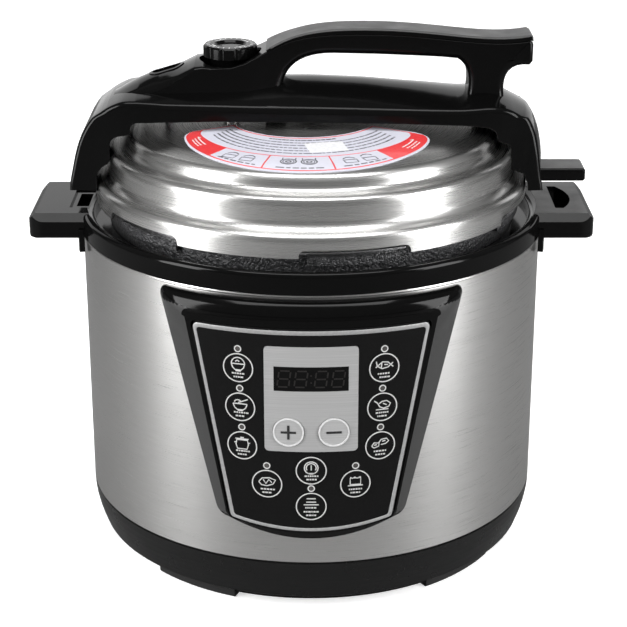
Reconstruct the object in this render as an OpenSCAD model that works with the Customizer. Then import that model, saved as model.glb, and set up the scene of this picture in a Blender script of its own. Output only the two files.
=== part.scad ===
// Electric pressure cooker with a lid that turns to lock.
// Millimetres, +Z up, front towards -Y, origin on the floor under the middle of the body.

/* [Body] */
// Outer radius of the steel shell
shell_r = 130; // [129:0.5:131]
// Sheet thickness of the steel shell
shell_t = 0.8; // [0.6:0.1:1]
// Height of the seam between the base and the steel shell
seam_z = 33; // [32:0.5:34]
// Height of the top edge of the steel shell
shell_top_z = 186; // [185.5:0.5:186.5]
// Wall thickness of the base moulding
base_t = 2.6; // [2:0.2:3]
// Radius of the recessed lip under the base
lip_r = 117; // [116:0.5:118]

/* [Feet] */
// Arc that each foot covers, in degrees
foot_arc = 26; // [20:1:30]
// Turn of the set of feet from straight ahead, in degrees
foot_turn = 6; // [0:1:10]
// Height of the lip above the floor
foot_h = 3.5; // [3:0.5:4]

/* [Collar] */
// Outer radius of the plastic collar
collar_r = 131; // [130.5:0.5:132]
// Height of the collar's top
collar_top_z = 197.5; // [197:0.5:198]
// Height of the gutter floor inside the collar
gutter_z = 190; // [189:0.5:190.5]
// Radius of the gutter's outer wall
gutter_r = 122.8; // [122.6:0.1:124]
// Half of the width over both side ears
ear_x = 158; // [154:1:162]
// Half of an ear's depth
ear_y = 34.5; // [30:0.5:38]
// Height of the ears' tops
ear_top_z = 198; // [197.5:0.5:198.5]
// Thickness of an ear
ear_h = 13.6; // [12:0.2:15]
// Turn of the condensate cup from straight behind, towards the left, in degrees
cup_turn = 34; // [33:1:60]

/* [Pots] */
// Outer radius of the fixed outer pot's wall
outer_pot_r = 114.2; // [114:0.1:114.4]
// Outer radius of its locking lugs
lug_r = 117.4; // [117:0.1:117.8]
// Number of locking lugs on the pot, and of notches in the lid
lug_count = 6; // [6]
// Arc that each lug covers, in degrees
lug_arc = 24; // [22:1:25]
// Turn of the first lug from straight ahead, in degrees
lug_turn = 11; // [5:1:15]
// Height of the top of the lugs and of the outer pot
lug_top_z = 201.8; // [201.6:0.1:201.9]
// Thickness of a lug
lug_h = 4.7; // [4:0.1:4.7]
// Outer radius of the removable cooking pot
pot_r = 109.5; // [109:0.1:109.5]
// Wall thickness of the cooking pot
pot_t = 1.6; // [1.4:0.1:2]
// Height of the heating plate's top, where the cooking pot stands
plate_top_z = 62; // [60:1:64]

/* [Lid] */
// Outer radius of the lid's skirt
skirt_r = 121.5; // [121:0.1:121.6]
// Height of the skirt's lower edge as the lid rests unlocked on the lugs
skirt_z = 202.3; // [202.3:0.1:202.6]
// Height of the middle of the lid
lid_top_z = 247; // [246:0.5:248]
// Sheet thickness of the lid
lid_t = 1.6; // [1.4:0.1:1.8]
// Arc of each notch in the skirt, in degrees
notch_arc = 28; // [27:1:30]
// Height of each notch
notch_h = 4.5; // [4:0.5:5]

/* [Handle] */
// Half of the arm's depth at its middle
arm_y = 31; // [29:0.5:33]
// Half of the arm's depth at its ends
arm_end_y = 25; // [23:0.5:27]
// Height of the arm's crown
arm_top_z = 263; // [262:0.5:264]
// Wall thickness of the arm's cover
arm_t = 2.4; // [2:0.2:3]
// Half of the grip's depth
grip_y = 12; // [11:0.5:13]
// Place of the steam valve along X
valve_x = -45; // [-46:0.5:-44]
// Place of the float valve along X
float_x = -80; // [-81:0.5:-79]

/* [Panel] */
// Radius of the panel's face at its top edge
face_top_r = 138.5; // [137:0.5:140]
// Radius of the panel's face at its bottom edge
face_bottom_r = 134; // [133:0.5:135]
// Diameter of a button
button_d = 16.6; // [15:0.2:17]
// Distance that a button travels
button_travel = 0.5; // [0.3:0.1:0.6]

/* [Hidden] */
$fn = 96;

// Named groups of the twelve buttons, as [name, x, z, has an indicator lamp]
column_x = 37.5;
column_lean = 0.75;
column_z = 147.2;
column_step = 22.2;
function column(side, i) = [side * (column_x - column_lean * i), column_z - column_step * i];
BUTTONS = [
    ["button_rice", column(-1, 0), true],
    ["button_porridge", column(-1, 1), true],
    ["button_soup", column(-1, 2), true],
    ["button_stew", [-23.2, 81.6], true],
    ["button_slow_cook", [0, 90.2], false],
    ["button_cancel", [0, 69], true],
    ["button_cake", [23.2, 81.6], true],
    ["button_meat", column(1, 2), true],
    ["button_chicken", column(1, 1), true],
    ["button_fish", column(1, 0), true],
    ["button_plus", [-11.8, 112.4], false],
    ["button_minus", [11.8, 112.4], false],
];

// ---------------------------------------------------------------- shapes used by several parts

// Points of an arc about (cx, cy), from angle a0 to a1
function arc(cx, cy, r, a0, a1, n = 10) =
    [for (i = [0:n]) let (a = a0 + (a1 - a0) * i / n) [cx + r * cos(a), cy + r * sin(a)]];

// Points of a cubic curve that leaves a towards b and reaches d from c
function curve(a, b, c, d, n = 12) =
    [for (i = [0:n]) let (t = i / n, s = 1 - t)
        s * s * s * a + 3 * s * s * t * b + 3 * s * t * t * c + t * t * t * d];

function reversed(points) = [for (i = [len(points) - 1:-1:0]) points[i]];

// A flat (X, Z) shape carried along Y, both ways from the middle
module along_y(depth) {
    rotate([90, 0, 0]) linear_extrude(depth, center = true) children();
}

// A flat (Y, Z) shape carried along X, both ways from the middle
module along_x(length) {
    rotate([90, 0, 90]) linear_extrude(length, center = true) children();
}

// A ring sector with the given (r, z) profile, centred at an angle counted from the front
module front_sector(centre, arc_deg) {
    rotate([0, 0, -90 + centre - arc_deg / 2]) rotate_extrude(angle = arc_deg) children();
}

// A flat rectangle with rounded corners
module round_rect(x0, y0, x1, y1, r) {
    translate([x0 + r, y0]) square([x1 - x0 - 2 * r, y1 - y0]);
    translate([x0, y0 + r]) square([x1 - x0, y1 - y0 - 2 * r]);
    for (x = [x0 + r, x1 - r], y = [y0 + r, y1 - r]) translate([x, y]) circle(r, $fn = 32);
}

// A box between two corners
module box(a, b) {
    translate(a) cube(b - a);
}

function unit(v) = v / norm(v);

// Direction of a route at its point i
function heading(p, i) = unit(p[min(i + 1, len(p) - 1)] - p[max(i - 1, 0)]);

// Sideways directions along a route that turn with it and never twist
function sideways(p, i, u) = let (t = heading(p, i), w = unit(u - (u * t) * t))
    i == len(p) - 1 ? [w] : concat([w], sideways(p, i + 1, w));

// A round wire swept along a route, as one closed skin with flat ends
module tube(p, r) {
    sides = 8;
    last = len(p) - 1;
    side = sideways(p, 0, [1, 0.1, 0.2]);
    points = [for (i = [0:last], j = [0:sides - 1])
        let (b = 360 * j / sides, w = side[i]) p[i] + r * (w * cos(b) + cross(w, heading(p, i)) * sin(b))];
    skin = [for (i = [0:last - 1], j = [0:sides - 1])
        let (k = (j + 1) % sides, low = i * sides, high = low + sides)
        [low + j, high + j, high + k, low + k]];
    ends = [[for (j = [0:sides - 1]) j], [for (j = [sides - 1:-1:0]) last * sides + j]];
    polyhedron(points, concat(skin, ends), convexity = 10);
}

// A round rod between two heights
module rod(x, y, r, z0, z1) {
    translate([x, y, z0]) cylinder(r = r, h = z1 - z0, $fn = 48);
}

// ---------------------------------------------------------------- base, feet and shell

floor_top_z = foot_h + base_t;
post_r = 5;
post_at = 80;
post_angles = [30, 150, 270];
post_top_z = 34;
screw_r = 2;
screw_gap = 0.1;
inlet_x = 14;
inlet_z0 = 10;
inlet_z1 = 30;
inlet_flange = 2;
inlet_front_y = 131;
inlet_back_y = 108;
standoffs = [[-40, 60], [40, 60], [-40, 95], [40, 95]];
board_z = 12;

module base() {
    tongue_h = 5;
    tongue_r = shell_r - shell_t - 0.1;
    crease_z = 9.6;
    wall = concat(
        [[0, foot_h], [lip_r, foot_h], [lip_r, 7], [121, 7], [125, crease_z]],
        curve([125, crease_z], [127.5, 16], [shell_r, 24], [shell_r, seam_z - 1.4], 6),
        [[shell_r - 0.9, seam_z - 1], [shell_r - 0.9, seam_z], [tongue_r, seam_z],
         [tongue_r, seam_z + tongue_h], [tongue_r - 2, seam_z + tongue_h]],
        curve([shell_r - base_t - 0.9, 27], [shell_r - base_t - 0.9, 20], [123, 13], [120.5, 10], 4),
        [[lip_r - 1, floor_top_z + 1.5], [lip_r - 4, floor_top_z], [0, floor_top_z]]);
    color("#26272a") difference() {
        union() {
            rotate_extrude() polygon(wall);
            for (a = post_angles) rotate([0, 0, a]) rod(post_at, 0, post_r, foot_h, post_top_z);
            for (p = standoffs) rod(p.x, p.y, 3, foot_h, board_z);
        }
        // Screw holes and the recesses for their heads
        for (a = post_angles) rotate([0, 0, a]) {
            rod(post_at, 0, screw_r + screw_gap, 0, post_top_z + 1);
            rod(post_at, 0, 4.4, 0, 8);
        }
        // Two rings of air slots in the floor
        for (i = [0:17]) rotate([0, 0, i * 20 + 10]) box([30, -1.5, 0], [44, 1.5, floor_top_z + 1]);
        for (i = [0:11]) rotate([0, 0, i * 30 + 15]) box([52, -1.5, 0], [66, 1.5, floor_top_z + 1]);
        // Opening for the power inlet
        box([-inlet_x, inlet_back_y, inlet_z0], [inlet_x, 140, inlet_z1]);
        box([-inlet_x - inlet_flange, inlet_front_y - 7, inlet_z0 - inlet_flange],
            [inlet_x + inlet_flange, 140, inlet_z1 + inlet_flange]);
    }
}

module feet() {
    foot_r = lip_r + 1;
    pad = [[104, 0.8], [104.8, 0], [foot_r - 1, 0], [foot_r, 1], [foot_r, 6.4], [lip_r + 0.05, 6.4],
           [lip_r + 0.05, foot_h], [104, foot_h]];
    color("#1b1b1c") for (a = [40, 140, 220, 320])
        front_sector(a + foot_turn, foot_arc) polygon(pad);
}

module base_screws() {
    color("#a9abae") for (a = post_angles) rotate([0, 0, a]) {
        difference() {
            union() {
                rod(post_at, 0, 4, 5, 8);
                rod(post_at, 0, screw_r, 8, 41);
            }
            translate([post_at, 0, 5]) box([-3, -0.5, -1], [3, 0.5, 1]);
            translate([post_at, 0, 5]) box([-0.5, -3, -1], [0.5, 3, 1]);
        }
    }
}

// Outline of the opening behind the control panel
module window_outline() {
    polygon([[-44, 62], [44, 62], [58, 170], [-58, 170]]);
}

module steel_shell() {
    bead_h = 1.8;
    bead = concat([[shell_r - shell_t, shell_top_z - bead_h]],
        arc(shell_r, shell_top_z - bead_h / 2, bead_h / 2, -90, 90, 8),
        [[shell_r - shell_t, shell_top_z]]);
    color("#b9bbbe") difference() {
        rotate_extrude($fn = 160) union() {
            translate([shell_r - shell_t, seam_z]) square([shell_t, shell_top_z - seam_z]);
            polygon(bead);
        }
        translate([0, -shell_r, 0]) along_y(80) window_outline();
    }
}

// ---------------------------------------------------------------- collar and condensate cup

ear_z = ear_top_z - ear_h;
hole_x0 = 137;
hole_x1 = 147.5;
hole_y = 21;
slot_x0 = 126;
slot_x1 = 133;
slot_y = 12;
slot_z = 190.5;
cup_x = 22;
cup_y0 = 134;
cup_y1 = 152;
cup_z0 = 152;
cup_z1 = 184;
spout_y = 143;
collar_floor_t = 2.6;
collar_inner_r = 127.4;

// One side ear: a plate with rounded corners and chamfered upper edges
module ear(side) {
    bevel = 4;
    corner = 9;
    intersection() {
        translate([0, 0, ear_z]) linear_extrude(ear_h)
            mirror([side < 0 ? 1 : 0, 0]) round_rect(90, -ear_y, ear_x, ear_y, corner);
        along_y(2 * ear_y) polygon([
            [-ear_x, ear_z + 1], [-ear_x + 1, ear_z], [ear_x - 1, ear_z], [ear_x, ear_z + 1],
            [ear_x, ear_top_z - bevel], [ear_x - bevel, ear_top_z],
            [-ear_x + bevel, ear_top_z], [-ear_x, ear_top_z - bevel]]);
        along_x(2 * ear_x) polygon([
            [-ear_y, ear_z + 1], [-ear_y + 1, ear_z], [ear_y - 1, ear_z], [ear_y, ear_z + 1],
            [ear_y, ear_top_z - bevel], [ear_y - bevel, ear_top_z],
            [-ear_y + bevel, ear_top_z], [-ear_y, ear_top_z - bevel]]);
    }
}

module collar() {
    tongue_r = shell_r - shell_t - 0.1;
    ring = concat(
        [[collar_r, shell_top_z]],
        arc(collar_r - 2.5, collar_top_z - 2.5, 2.5, 0, 90, 5),
        curve([127.6, collar_top_z], [125.5, collar_top_z - 0.8], [124.4, collar_top_z - 2],
              [gutter_r + 0.6, collar_top_z - 3.2], 4),
        [[gutter_r, gutter_z], [114.6, gutter_z], [114.6, gutter_z - collar_floor_t],
         [collar_inner_r, gutter_z - collar_floor_t], [collar_inner_r, 181], [tongue_r, 181],
         [tongue_r, shell_top_z]]);
    color("#111214") difference() {
        union() {
            rotate_extrude($fn = 160) polygon(ring);
            difference() {
                for (side = [-1, 1]) ear(side);
                cylinder(r = collar_inner_r + 0.1, h = 300);
                cylinder(r = collar_r, h = shell_top_z);
            }
            // Locating ribs that reach down the shell beside the ears
            for (a = [15, 165, 195, 345]) rotate([0, 0, a])
                box([collar_r, -1.7, 177], [collar_r + 3, 1.7, 190]);
            // Spout that drips into the condensate cup
            rotate([0, 0, cup_turn]) difference() {
                box([-9, 125, shell_top_z], [9, spout_y, 192]);
                cylinder(r = collar_inner_r + 0.1, h = 300);
            }
        }
        // Finger hole of the right ear, which also holds the lid's tab
        translate([0, 0, ear_z - 1]) linear_extrude(ear_h + 2) intersection() {
            translate([hole_x1 - 40, 0]) circle(40);
            translate([hole_x0, -hole_y]) square([40, 2 * hole_y]);
        }
        // Slot and sunken land of the left ear
        box([-slot_x1, -slot_y, slot_z], [-slot_x0, slot_y, 210]);
        box([-136, -20, 196.2], [-slot_x0 + 1, 20, 210]);
        // Drip channel of the spout
        rotate([0, 0, cup_turn]) {
            box([-3, 121, 188.6], [3, spout_y - 4, collar_top_z + 1]);
            box([-3, spout_y - 8, 180], [3, spout_y - 4, collar_top_z + 1]);
        }
    }
}

module condensate_cup() {
    wall = 1.8;
    color("#d9dcdf", 0.6) rotate([0, 0, cup_turn]) difference() {
        box([-cup_x, cup_y0, cup_z0], [cup_x, cup_y1, cup_z1]);
        box([-cup_x + wall, cup_y0 + 2 * wall, cup_z0 + wall], [cup_x - wall, cup_y1 - wall, 300]);
        for (x = [-12, 12]) translate([x, cup_y0, 168]) rotate([-90, 0, 0])
            cylinder(r = 2.3, h = 2.4, $fn = 32);
    }
}

module cup_bracket() {
    color("#141517") rotate([0, 0, cup_turn]) difference() {
        union() {
            box([-18, 120, 156], [18, 133.5, 181]);
            for (x = [-12, 12]) translate([x, 133, 168]) rotate([-90, 0, 0])
                cylinder(r = 2, h = 3.2, $fn = 32);
        }
        cylinder(r = shell_r + 0.1, h = 300, $fn = 160);
    }
}

// ---------------------------------------------------------------- pots and heater

pot_floor_z = 40;
floor_hole_r = 60;

module outer_pot() {
    wall = 2;
    wall_r = outer_pot_r - wall;
    body = [[floor_hole_r, pot_floor_z], [outer_pot_r - 5, pot_floor_z], [outer_pot_r, pot_floor_z + 5],
            [outer_pot_r, gutter_z - 5], [127, gutter_z - 5], [127, gutter_z - collar_floor_t],
            [outer_pot_r, gutter_z - collar_floor_t], [outer_pot_r, lug_top_z], [wall_r, lug_top_z],
            [wall_r, pot_floor_z + 6], [wall_r - 4, pot_floor_z + 2], [floor_hole_r, pot_floor_z + 2]];
    lug = [[outer_pot_r - 0.5, lug_top_z - lug_h], [lug_r, lug_top_z - lug_h], [lug_r, lug_top_z - 1],
           [lug_r - 1, lug_top_z], [outer_pot_r - 0.5, lug_top_z]];
    color("#3b3a39") difference() {
        union() {
            rotate_extrude($fn = 160) polygon(body);
            for (i = [0:lug_count - 1])
                front_sector(lug_turn + i * 360 / lug_count, lug_arc) polygon(lug);
            // Bosses that stand on the base's posts
            for (a = post_angles) rotate([0, 0, a]) rod(post_at, 0, 6, post_top_z, pot_floor_z + 1);
        }
        for (a = post_angles) rotate([0, 0, a]) rod(post_at, 0, screw_r + 0.05, 30, 60);
        for (x = [-66, 66]) rod(x, 0, screw_r + 0.05, 30, 60);
    }
}

pot_rim_z = lug_top_z + 1.6;

module inner_pot() {
    corner = 14;
    outside = concat([[0, plate_top_z]], arc(pot_r - corner, plate_top_z + corner, corner, -90, 0, 8),
        [[pot_r, lug_top_z + 0.1], [113.6, lug_top_z + 0.1], [113.6, pot_rim_z - 0.5],
         [113.1, pot_rim_z]]);
    inside = concat([[pot_r - pot_t, pot_rim_z]],
        arc(pot_r - corner, plate_top_z + corner, corner - pot_t, 0, -90, 8), [[0, plate_top_z + pot_t]]);
    color("#c9cbcd") rotate_extrude($fn = 160) polygon(concat(outside, inside));
}

beam_z = 36;
beam_t = 2;
sensor_hole_r = 14;

module heating_plate() {
    color("#b4b6b8") rotate_extrude() polygon([
        [sensor_hole_r, beam_z + beam_t], [26, beam_z + beam_t], [28, 48], [88, 48], [92, 51],
        [92, plate_top_z - 2], [90, plate_top_z], [sensor_hole_r, plate_top_z]]);
}

module heating_element() {
    ring_r = 45;
    tube_r = 3;
    first = 115;
    last = 425;
    ring_z = 48 - tube_r;
    // Down from each end of the ring the tube bends into a terminal
    function down(a) = curve([ring_r * cos(a), ring_r * sin(a), ring_z], [ring_r * cos(a + 5), ring_r * sin(a + 5), ring_z],
        [ring_r * cos(a + 7), ring_r * sin(a + 7), ring_z - 3],
        [ring_r * cos(a + 7), ring_r * sin(a + 7), 30], 6);
    function up(a) = reversed(curve([ring_r * cos(a), ring_r * sin(a), ring_z],
        [ring_r * cos(a - 5), ring_r * sin(a - 5), ring_z], [ring_r * cos(a - 7), ring_r * sin(a - 7), ring_z - 3],
        [ring_r * cos(a - 7), ring_r * sin(a - 7), 30], 6));
    color("#8a7f76") tube(concat(up(first),
        [for (a = [first + 10:10:last - 10]) [ring_r * cos(a), ring_r * sin(a), ring_z]], down(last)), tube_r);
}

module pressure_beam() {
    color("#9ea1a5") difference() {
        union() {
            box([-74, -15, beam_z], [74, 15, beam_z + beam_t]);
            for (x = [-66, 66]) rod(x, 0, 6, beam_z, pot_floor_z);
        }
        rod(0, 0, 5, 0, 100);
        for (x = [-66, 66]) rod(x, 0, screw_r + 0.05, 0, 100);
    }
}

module beam_screws() {
    color("#a9abae") for (x = [-66, 66]) {
        rod(x, 0, 4, beam_z - 2.6, beam_z);
        rod(x, 0, screw_r, beam_z - 1, 44);
    }
}

module pressure_switch() {
    color("#e8e3d4") union() {
        box([34, -6, 22], [56, 6, beam_z - 3]);
        rod(40, 0, 1.6, beam_z - 4, beam_z);
        for (x = [38, 52]) box([x - 0.4, -3, 16], [x + 0.4, 3, 23]);
    }
}

sensor_stem_r = 4;
spring_z0 = beam_z + beam_t;
spring_z1 = 55;

module temperature_sensor() {
    color("#d3d5d7") rotate_extrude() polygon([
        [0, 33], [sensor_stem_r, 33], [sensor_stem_r, spring_z1], [11.5, spring_z1],
        [11.5, plate_top_z - 2], [9.5, plate_top_z], [0, plate_top_z]]);
}

module sensor_spring() {
    turns = 5;
    steps = turns * 14;
    wire_r = 0.6;
    low = spring_z0 + wire_r + 0.1;
    high = spring_z1 - wire_r - 0.1;
    color("#8f9296") tube([for (i = [0:steps]) let (a = 360 * turns * i / steps)
        [6.2 * cos(a), 6.2 * sin(a), low + (high - low) * i / steps]], wire_r);
}

module thermal_fuse() {
    color("#e9e6df") translate([0, -58, 45.4]) rotate([0, 90, 0]) {
        translate([0, 0, -11]) cylinder(r = 2.6, h = 22, $fn = 32);
        translate([0, 0, -16]) cylinder(r = 0.8, h = 32, $fn = 24);
    }
}

// ---------------------------------------------------------------- mains inlet and electronics

inlet_pin_places = [[-7, 18.5], [0, 21.5], [7, 18.5]];

module power_inlet() {
    socket_depth = 15;
    color("#17181a") difference() {
        union() {
            box([-inlet_x, inlet_back_y, inlet_z0], [inlet_x, inlet_front_y, inlet_z1]);
            box([-inlet_x - inlet_flange, inlet_front_y - 7, inlet_z0 - inlet_flange],
                [inlet_x + inlet_flange, inlet_front_y, inlet_z1 + inlet_flange]);
        }
        box([-12, inlet_front_y - socket_depth, inlet_z0 + 2], [12, 200, inlet_z1 - 2]);
        for (p = inlet_pin_places) inlet_pin(p, 0.05);
    }
}

// One blade of the inlet at (x, z), grown by a clearance
module inlet_pin(p, grow) {
    translate([p.x, 0, p.y])
        box([-1 - grow, inlet_back_y - 6, -2 - grow], [1 + grow, inlet_front_y - 3, 2 + grow]);
}

module inlet_pins() {
    color("#c8b273") for (p = inlet_pin_places) inlet_pin(p, 0);
}

module power_board() {
    color("#2f6b3c") union() {
        box([-46, 55, board_z], [46, 100, board_z + 1.6]);
        // Relay, transformer, capacitors and connectors
        box([-40, 66, board_z + 1], [-20, 82, 22]);
        box([-12, 64, board_z + 1], [12, 84, 28]);
        rod(22, 76, 5, board_z + 1, 22);
        rod(34, 76, 5, board_z + 1, 22);
        box([-34, 88, board_z + 1], [-12, 96, 22]);
        box([14, 88, board_z + 1], [36, 96, 22]);
    }
}

module wiring() {
    end_gap = 0.4;
    element_x = 13.9;
    element_y = 42.8;
    color("#c23b2e") {
        // Heater leads
        for (side = [-1, 1]) tube(curve(
            [side * 28, 92, 22 + end_gap], [side * 28, 92, 34],
            [side * element_x, element_y, 14], [side * element_x, element_y, 30 - end_gap]), 1.3);
        // Mains leads from the inlet's pins
        for (p = inlet_pin_places) tube(curve(
            [p.x, inlet_back_y - 6 - end_gap, p.y], [p.x, 97, p.y],
            [p.x, 93, p.y - 1], [p.x, 93, board_z + pcb_t + 1.2 + end_gap], 6), 1.2);
        // Lead to the display board, round the base and up beside the outer pot
        tube([[-43, 60, 15], [-50, 61, 20], [-70, 60, 24], [-93, 32, 24], [-98, -10, 24],
              [-84, -58, 25], [-58, -94, 28], [-37, -112, 38], [-32, -113.2, 54], [-31, -113.4, 72],
              [-31, -115, 80]], 1.2);
    }
}

// ---------------------------------------------------------------- control panel

face_top_z = 182;
face_bottom_z = 50;
face_slope = (face_top_r - face_bottom_r) / (face_top_z - face_bottom_z);
face_tilt = atan(face_slope);
overlay_t = 1.2;
plate_t = 2.2;
back_r = shell_r + 0.1;
pcb_y = -118;
pcb_t = 1.6;
switch_h = 3.2;
plunger_h = 0.6;
stem_gap = 1.2;
stem_r = 1.8;
led_rise = 10.6;

function face_r(z) = face_bottom_r + face_slope * (z - face_bottom_z);

// Places children on the panel's face at (x, z), with +Z pointing straight out of the face
module on_face(x, z) {
    rotate([0, 0, asin(x / face_r(z))]) translate([0, -face_r(z), z])
        rotate([90 + face_tilt, 0, 0]) children();
}

// The layer of the panel between two depths below its face
module face_layer(deep, shallow) {
    z0 = 30;
    z1 = 200;
    rotate_extrude($fn = 160) polygon([
        [face_r(z0) - deep, z0], [face_r(z0) - shallow, z0],
        [face_r(z1) - shallow, z1], [face_r(z1) - deep, z1]]);
}

// Carries a flat (X, Z) outline through the front of the body
module through_front() {
    translate([0, -shell_r, 0]) along_y(100) children();
}

// A panel outline: straight top, narrower bottom with a bulging edge, rounded corners
module panel_outline(top_x, top_z, bottom_x, bottom_z, bulge, r) {
    lean = atan((top_x - bottom_x) / (top_z - bottom_z));
    polygon(concat(
        arc(bottom_x - r, bottom_z + r, r, -80, -lean, 5),
        arc(top_x - r * 1.1, top_z - r, r, -lean, 90, 5),
        arc(-top_x + r * 1.1, top_z - r, r, 90, 180 + lean, 5),
        arc(-bottom_x + r, bottom_z + r, r, 180 + lean, 260, 5),
        [for (i = [1:7]) let (x = -bottom_x * (1 - i / 4)) [x, bottom_z - bulge * (1 - pow(x / bottom_x, 2))]]));
}

module bezel_outline() {
    panel_outline(78, 182.5, 51, 58, 9.5, 7);
}

module bezel_face_outline() {
    panel_outline(68, 176, 46.5, 60, 7.5, 6);
}

module overlay_outline() {
    panel_outline(62, 170.5, 44, 58.5, 5.5, 6);
}

board_posts = [[-41, 164], [41, 164], [-36, 68], [36, 68]];

module bezel() {
    color("#0e0f11") difference() {
        union() {
            difference() {
                // Two steps: a flange against the shell and the raised face
                for (step = [0, 1]) intersection() {
                    face_layer(30, step == 0 ? 4 : 0);
                    through_front() {
                        if (step == 0) bezel_outline();
                        else bezel_face_outline();
                    }
                }
                cylinder(r = back_r, h = 200, $fn = 160);
                // Hollow behind the face plate
                intersection() {
                    face_layer(30, overlay_t + plate_t);
                    through_front() polygon([[-42, 65], [42, 65], [55, 167], [-55, 167]]);
                }
            }
            for (p = board_posts) translate([p.x, pcb_y, p.y]) rotate([90, 0, 0])
                cylinder(r = 3, h = sqrt(pow(face_r(p.y) - 2, 2) - p.x * p.x) + pcb_y, $fn = 32);
        }
        // Seat of the overlay
        intersection() {
            face_layer(overlay_t, -2);
            through_front() overlay_outline();
        }
        for (b = BUTTONS) on_face(b[1].x, b[1].y) {
            translate([0, 0, -overlay_t - 0.8]) cylinder(r = button_d / 2 + 0.3, h = 4, $fn = 48);
            translate([0, 0, -12]) cylinder(r = stem_r + 0.5, h = 14, $fn = 32);
            if (b[2]) translate([0, led_rise, -12]) cylinder(r = 1.8, h = 14, $fn = 24);
        }
        through_front() translate([-20, 134]) square([40, 17]);
        for (p = board_posts) translate([p.x, pcb_y + 1, p.y]) rotate([90, 0, 0])
            cylinder(r = 1.05, h = 9, $fn = 24);
    }
}

plate_x = 24.3;
plate_z0 = 101.2;
plate_z1 = 160.6;
window_x = 19.3;
window_z0 = 135.8;
window_z1 = 149.6;

module panel_overlay() {
    color("#08090b") difference() {
        intersection() {
            face_layer(overlay_t, 0);
            through_front() overlay_outline();
        }
        through_front() translate([-plate_x, plate_z0]) square([2 * plate_x, plate_z1 - plate_z0]);
        for (b = BUTTONS) on_face(b[1].x, b[1].y) {
            translate([0, 0, -5]) cylinder(r = button_d / 2 + 0.2, h = 10, $fn = 64);
            if (b[2]) translate([0, led_rise, -5]) cylinder(r = 1.7, h = 10, $fn = 32);
        }
    }
}

module display_plate() {
    color("#b7b9bc") difference() {
        intersection() {
            face_layer(overlay_t, -0.3);
            through_front() translate([-plate_x, plate_z0]) square([2 * plate_x, plate_z1 - plate_z0]);
        }
        through_front() translate([-window_x, window_z0])
            square([2 * window_x, window_z1 - window_z0]);
        for (x = [-11.8, 11.8]) on_face(x, 112.4)
            translate([0, 0, -5]) cylinder(r = button_d / 2 + 0.2, h = 10, $fn = 64);
    }
}

module display_window() {
    color("#1a1416") intersection() {
        face_layer(overlay_t, -0.1);
        through_front() translate([-window_x, window_z0])
            square([2 * window_x, window_z1 - window_z0]);
    }
}

module led_display() {
    color("#24262b") box([-18, -132, 136.4], [18, pcb_y, 149]);
}

module display_board() {
    color("#2f6b3c") difference() {
        translate([0, pcb_y + pcb_t / 2, 0]) along_y(pcb_t)
            polygon([[-40, 63], [40, 63], [46, 110], [46, 169], [-46, 169], [-46, 110]]);
        for (p = board_posts) translate([p.x, pcb_y + 5, p.y]) rotate([90, 0, 0])
            cylinder(r = 1.3, h = 9, $fn = 24);
    }
}

module board_screws() {
    color("#a9abae") for (p = board_posts) translate([p.x, pcb_y, p.y]) rotate([90, 0, 0]) {
        translate([0, 0, -pcb_t - 1.4]) cylinder(r = 2.3, h = 1.4, $fn = 32);
        translate([0, 0, -pcb_t - 1]) cylinder(r = 1, h = 8, $fn = 24);
    }
}

// Place on the circuit board, along X, that a button's stem points at
switch_y = -pcb_y + switch_h + plunger_h;
function stem_x(b) = (switch_y + stem_gap / 2) * tan(asin(b[1].x / face_r(b[1].y)));
function stem_z(b) = b[1].y - (face_r(b[1].y) - switch_y) * sin(face_tilt);

module tact_switches() {
    color("#3a3d42") for (b = BUTTONS) translate([stem_x(b), pcb_y, stem_z(b)]) {
        box([-3, -switch_h, -3], [3, 0, 3]);
        translate([0, -switch_h + 0.1, 0]) rotate([90, 0, 0]) cylinder(r = 1.6, h = plunger_h + 0.1, $fn = 24);
    }
}

// Light guides from the board to the small lamps in the face
module indicator_leds() {
    color("#d8dde0") for (b = BUTTONS) if (b[2]) intersection() {
        on_face(b[1].x, b[1].y) translate([0, led_rise, -30]) cylinder(r = 1.5, h = 29.9, $fn = 24);
        box([-60, -150, 0], [60, pcb_y, 200]);
    }
}

module button(b) {
    turn = asin(b[1].x / face_r(b[1].y));
    reach = face_r(b[1].y) - (switch_y + stem_gap) / cos(turn);
    on_plate = b[0] == "button_plus" || b[0] == "button_minus";
    on_face(b[1].x, b[1].y) {
        translate([0, 0, -overlay_t]) cylinder(d = button_d, h = overlay_t + (on_plate ? 0.5 : 0.15), $fn = 64);
        translate([0, 0, -reach]) cylinder(r = stem_r, h = reach - overlay_t / 2, $fn = 32);
    }
}

// ---------------------------------------------------------------- lid

crown_r = 104;
step_r = 113.6;
label_r0 = 30;
label_r1 = 100.5;
crown_slope = 4 / 90;

// Outside of the lid from its middle to the skirt's lower edge, as (r, z)
lid_outside = [
    [0, lid_top_z], [90, lid_top_z - 4], [crown_r - 3, lid_top_z - 6], [crown_r, lid_top_z - 8],
    [crown_r + 0.5, 234.5], [crown_r + 6, 232], [step_r - 0.8, 230.8], [step_r, 229],
    [step_r + 0.2, 218], [119, 214.5], [skirt_r, 212],
];

// The same outline moved inwards by t
function lid_outline(t) =
    concat([[0, lid_top_z - t]], [for (i = [1:len(lid_outside) - 1]) lid_outside[i] - [t, t]]);

function lid_z(r) = lid_top_z - crown_slope * r;
label_edge_z = lid_z(90) - (label_r1 - 90) * 2 / 11;

// All that lies under the lid's outside, grown by a clearance
module under_lid(grow) {
    rotate_extrude($fn = 160) polygon(concat(lid_outline(-grow), [[skirt_r + grow, 150], [0, 150]]));
}

module notch_shape() {
    half = skirt_r * sin(notch_arc / 2);
    translate([-half, -5]) square([2 * half, 5 + notch_h - 2]);
    translate([-half + 2, -5]) square([2 * half - 4, 5 + notch_h]);
    for (x = [-half + 2, half - 2]) translate([x, notch_h - 2]) circle(2, $fn = 24);
}

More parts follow.
